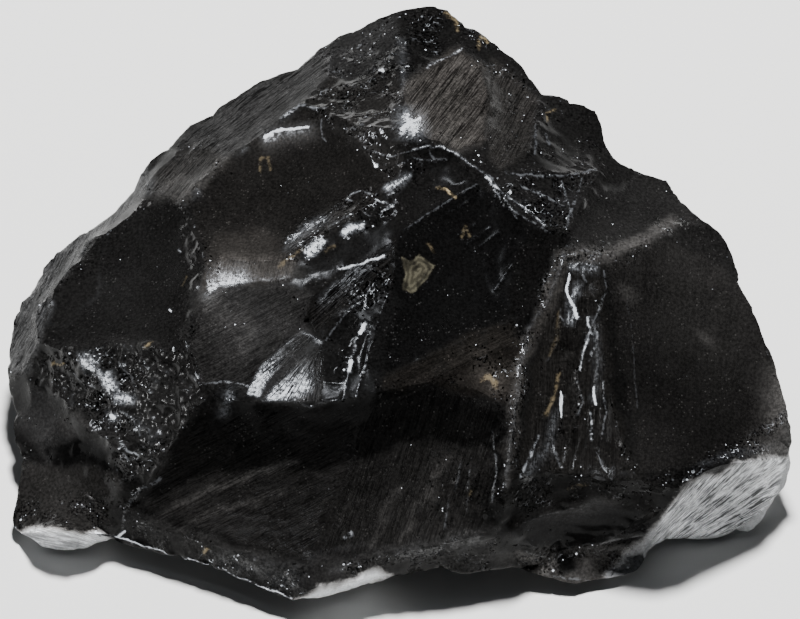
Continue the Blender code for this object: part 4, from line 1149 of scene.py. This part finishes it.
def black_glass():
    """Black volcanic glass: mirror-smooth where it broke cleanly, finely hackled or crushed elsewhere."""
    material = bpy.data.materials.new("black_glass")
    material.use_nodes = True
    tree = material.node_tree
    place = Arrow(added(tree, "TexCoord", {}).outputs["Object"])
    grain = Arrow(added(tree, "Attribute", {}, attribute_name="grain").outputs["Vector"])
    aside, ahead, plain = (Value(part) for part in added(tree, "SeparateXYZ", {0: grain}).outputs)
    fine = strand_lines(aside, ahead, 0.42, 0.03)
    broad = strand_lines(aside, ahead, 0.13, 0.010)
    lines = fine * 1.7 + broad * 0.8
    broken = place.noise(BROKEN_SCALE, 4.0, 0.7).eased(0.42, 0.56, 0.10, 1.0)
    bright = highlight_marks(place, lines, plain, broken)

    bared = bright.eased(0.0, 0.25)
    rough = mark(tree, "rough") * place.noise(160.0, 3.0).eased(0.35, 0.7, 0.6, 1.3)
    fill(tree.nodes["Principled BSDF"], {
        "Normal": glass_relief(place, lines * plain, bright),
        "Base Color": glass_colour(place, lines, plain, bright, broken),
        "Roughness": rough + bared * rough.taken_from(0.28),
        "Specular IOR Level": mark(tree, "gloss").larger(bared) * 0.5,
        "IOR": 1.5,
    })
    return material


def highlight_marks(place, lines, plain, broken):
    """Where painted highlights lie, from 0 to 1: crushed specks, glints and sheen strands that catch the
    light, painted into the colour and also steering the shading normal towards the key light.
    """
    silver = mark(place.tree, "silver")
    crushed = mark(place.tree, "crushed") * (silver * 2.5 + 0.35)
    large = specks(place, LARGE_SPECKS, crushed * 0.09)
    small = specks(place, SMALL_SPECKS, crushed * 0.26 + 0.0015)
    small = small.larger(flake_edges(place) * crushed.eased(0.05, 0.6))
    glint = mark(place.tree, "glint")
    glints = glint * broken.larger(glint.eased(0.45, 0.85))
    grit = place.noise(GRIT_SCALE, 3.0, 0.7).eased(0.38, 0.62, 0.40, 1.15)
    strands = silver * (((lines - 1.2) * plain + 1.2) * grit)
    bright = large.larger(small).larger(glints.larger(strands))
    return bright.step("MULTIPLY", mark(place.tree, "front"), use_clamp=True)


def glass_relief(place, lines, bright):
    """The surface's lean, from hackle strands, dust, crushed facets and the facets that catch the light."""
    crushed = mark(place.tree, "crushed")
    height = lines * (mark(place.tree, "rough") * 0.3) + place.noise(900.0, 2.0) * 0.05
    height = height + place.noise(2600.0, 1.0) * 0.03
    bump = added(place.tree, "Bump", {"Strength": 1.0, "Distance": BUMP_HEIGHT, "Height": height})
    large = glitter(place, LARGE_FACETS, crushed * 0.25, 0.8)
    small = glitter(place, SMALL_FACETS, crushed * 0.2, 1.5)
    leaning = (Arrow(bump.outputs[0]) + (large + small)).unit()
    caught = bright.eased(0.0, 0.7)
    return (caught.taken_from(1.0).of(leaning) + caught.of(tuple(CATCHING))).unit()


def glass_colour(place, lines, plain, bright, broken):
    """Each place's own tone, with painted reflection and shade in places, the painted highlights of its
    crushed specks, glints and sheens, and tan marks and rings.
    """
    front, tone, crushed, smoky, tan = (
        mark(place.tree, name) for name in ("front", "tone", "crushed", "smoky", "tan")
    )
    mottle = place.noise(MOTTLE_SCALE, 4.0, 0.7).eased(0.36, 0.66, -0.36, 0.44)
    drift = place.noise(DRIFT_SCALE, 2.0).eased(0.3, 0.7, -0.2, 0.2)
    calm = tone.eased(0.03, 0.3, 1.0, 0.3) * (crushed * 1.2 + 1.0)
    streaked = (lines - 0.85) * plain + 1.0
    tone = tone * (((mottle + drift) * calm + 1.0) * streaked)
    dusty = place.noise(260.0).eased(0.42, 0.66) * 0.30
    tone = tone + specks(place, DUST_SPECKS, dusty) * 0.022
    # Painted highlights: the crushed specks, glints and sheen strands, added as pale colour.
    colour = tone.of(smoky.mixed(COOL_TINT, BROWN_TINT)) + (bright ** 1.5 * 0.22).of(PAINTED_HIGHLIGHT)
    colour = (tan * broken * front).mixed(colour, TAN)
    return (ring_share(place) * front).mixed(colour, RING)


def ring_share(place):
    """How strongly the rings of the tan inclusion show, from 0 to 1."""
    warp = (place.noise(1400.0, 4.0, 0.7) - 0.5) * 5.0
    depth = mark(place.tree, "ringed") + warp * 0.9
    wave = (depth * (2 * math.pi / RING_SPACING)).step("SINE")
    ring = wave.eased(-0.8, 1.0, 0.40, 0.85) * depth.eased(-1.0, 1.5)
    return ring * place.noise(450.0).eased(0.38, 0.58, 0.25, 1.0)


def paper():
    """The pale, matt floor."""
    material = bpy.data.materials.new("paper")
    material.use_nodes = True
    fill(material.node_tree.nodes["Principled BSDF"], {"Base Color": PAPER, "Roughness": 0.9})
    return material


# ---------------------------------------------------------------- the stage

# Lengths in metres, from the middle of the lump's foot.
FLOOR_REACH = 1.5
VIEW_DISTANCE = 0.9
LIT_PLACE = (0, 0, 0.02)
KEY_COLOUR = (0.90, 0.94, 1.0)
ROOM_COLOUR = (0.9, 0.95, 1.0, 1)
ROOM_STRENGTH = 0.028


def add_floor():
    mesh = bpy.data.meshes.new("floor")
    corners = [(across * FLOOR_REACH, back * FLOOR_REACH, 0) for across, back in
               ((-1, -1), (1, -1), (1, 1), (-1, 1))]
    mesh.from_pydata(corners, [], [(0, 1, 2, 3)])
    mesh.materials.append(paper())
    floor = bpy.data.objects.new("floor", mesh)
    bpy.context.scene.collection.objects.link(floor)


def aimed(item, place, target):
    """Puts a light or a camera at a place, looking at a target."""
    item.location = place
    looking = Vector(np.array(target, float) - place)
    item.rotation_euler = looking.to_track_quat("-Z", "Y").to_euler()


def add_light(name, bearing, distance, size, watts, colour=(1, 1, 1), glossy=True, diffuse=True):
    """A round soft light, by the azimuth and elevation that it shines from."""
    data = bpy.data.lights.new(name, "AREA")
    data.shape = "DISK"
    data.size = size
    data.energy = watts
    data.color = colour
    light = bpy.data.objects.new(name, data)
    bpy.context.scene.collection.objects.link(light)
    aimed(light, direction(*bearing) * distance, LIT_PLACE)
    light.visible_glossy = glossy
    light.visible_diffuse = diffuse


def add_world():
    world = bpy.data.worlds.new("room")
    world.use_nodes = True
    background = world.node_tree.nodes["Background"]
    background.inputs["Color"].default_value = ROOM_COLOUR
    background.inputs["Strength"].default_value = ROOM_STRENGTH
    bpy.context.scene.world = world


def add_camera():
    """Looks along the drawing's view, without perspective, and frames the drawing."""
    data = bpy.data.cameras.new("camera")
    data.type = "ORTHO"
    data.ortho_scale = WIDTH * STEP
    camera = bpy.data.objects.new("camera", data)
    bpy.context.scene.collection.objects.link(camera)
    middle = np.array([0.0, -MIDDLE_BACK * STEP, 0.0])
    aimed(camera, middle + TOWARDS * VIEW_DISTANCE, middle)
    bpy.context.scene.camera = camera


make_skin(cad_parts["lump"])
add_floor()
add_light("paper_light", (173, 73), distance=1.4, size=0.22, watts=60, glossy=False)
add_light("key", KEY, distance=1.2, size=0.12, watts=9, colour=KEY_COLOUR, diffuse=False)
add_light("left_glint", (285, 32), distance=1.2, size=0.10, watts=3, diffuse=False)
add_world()
add_camera()
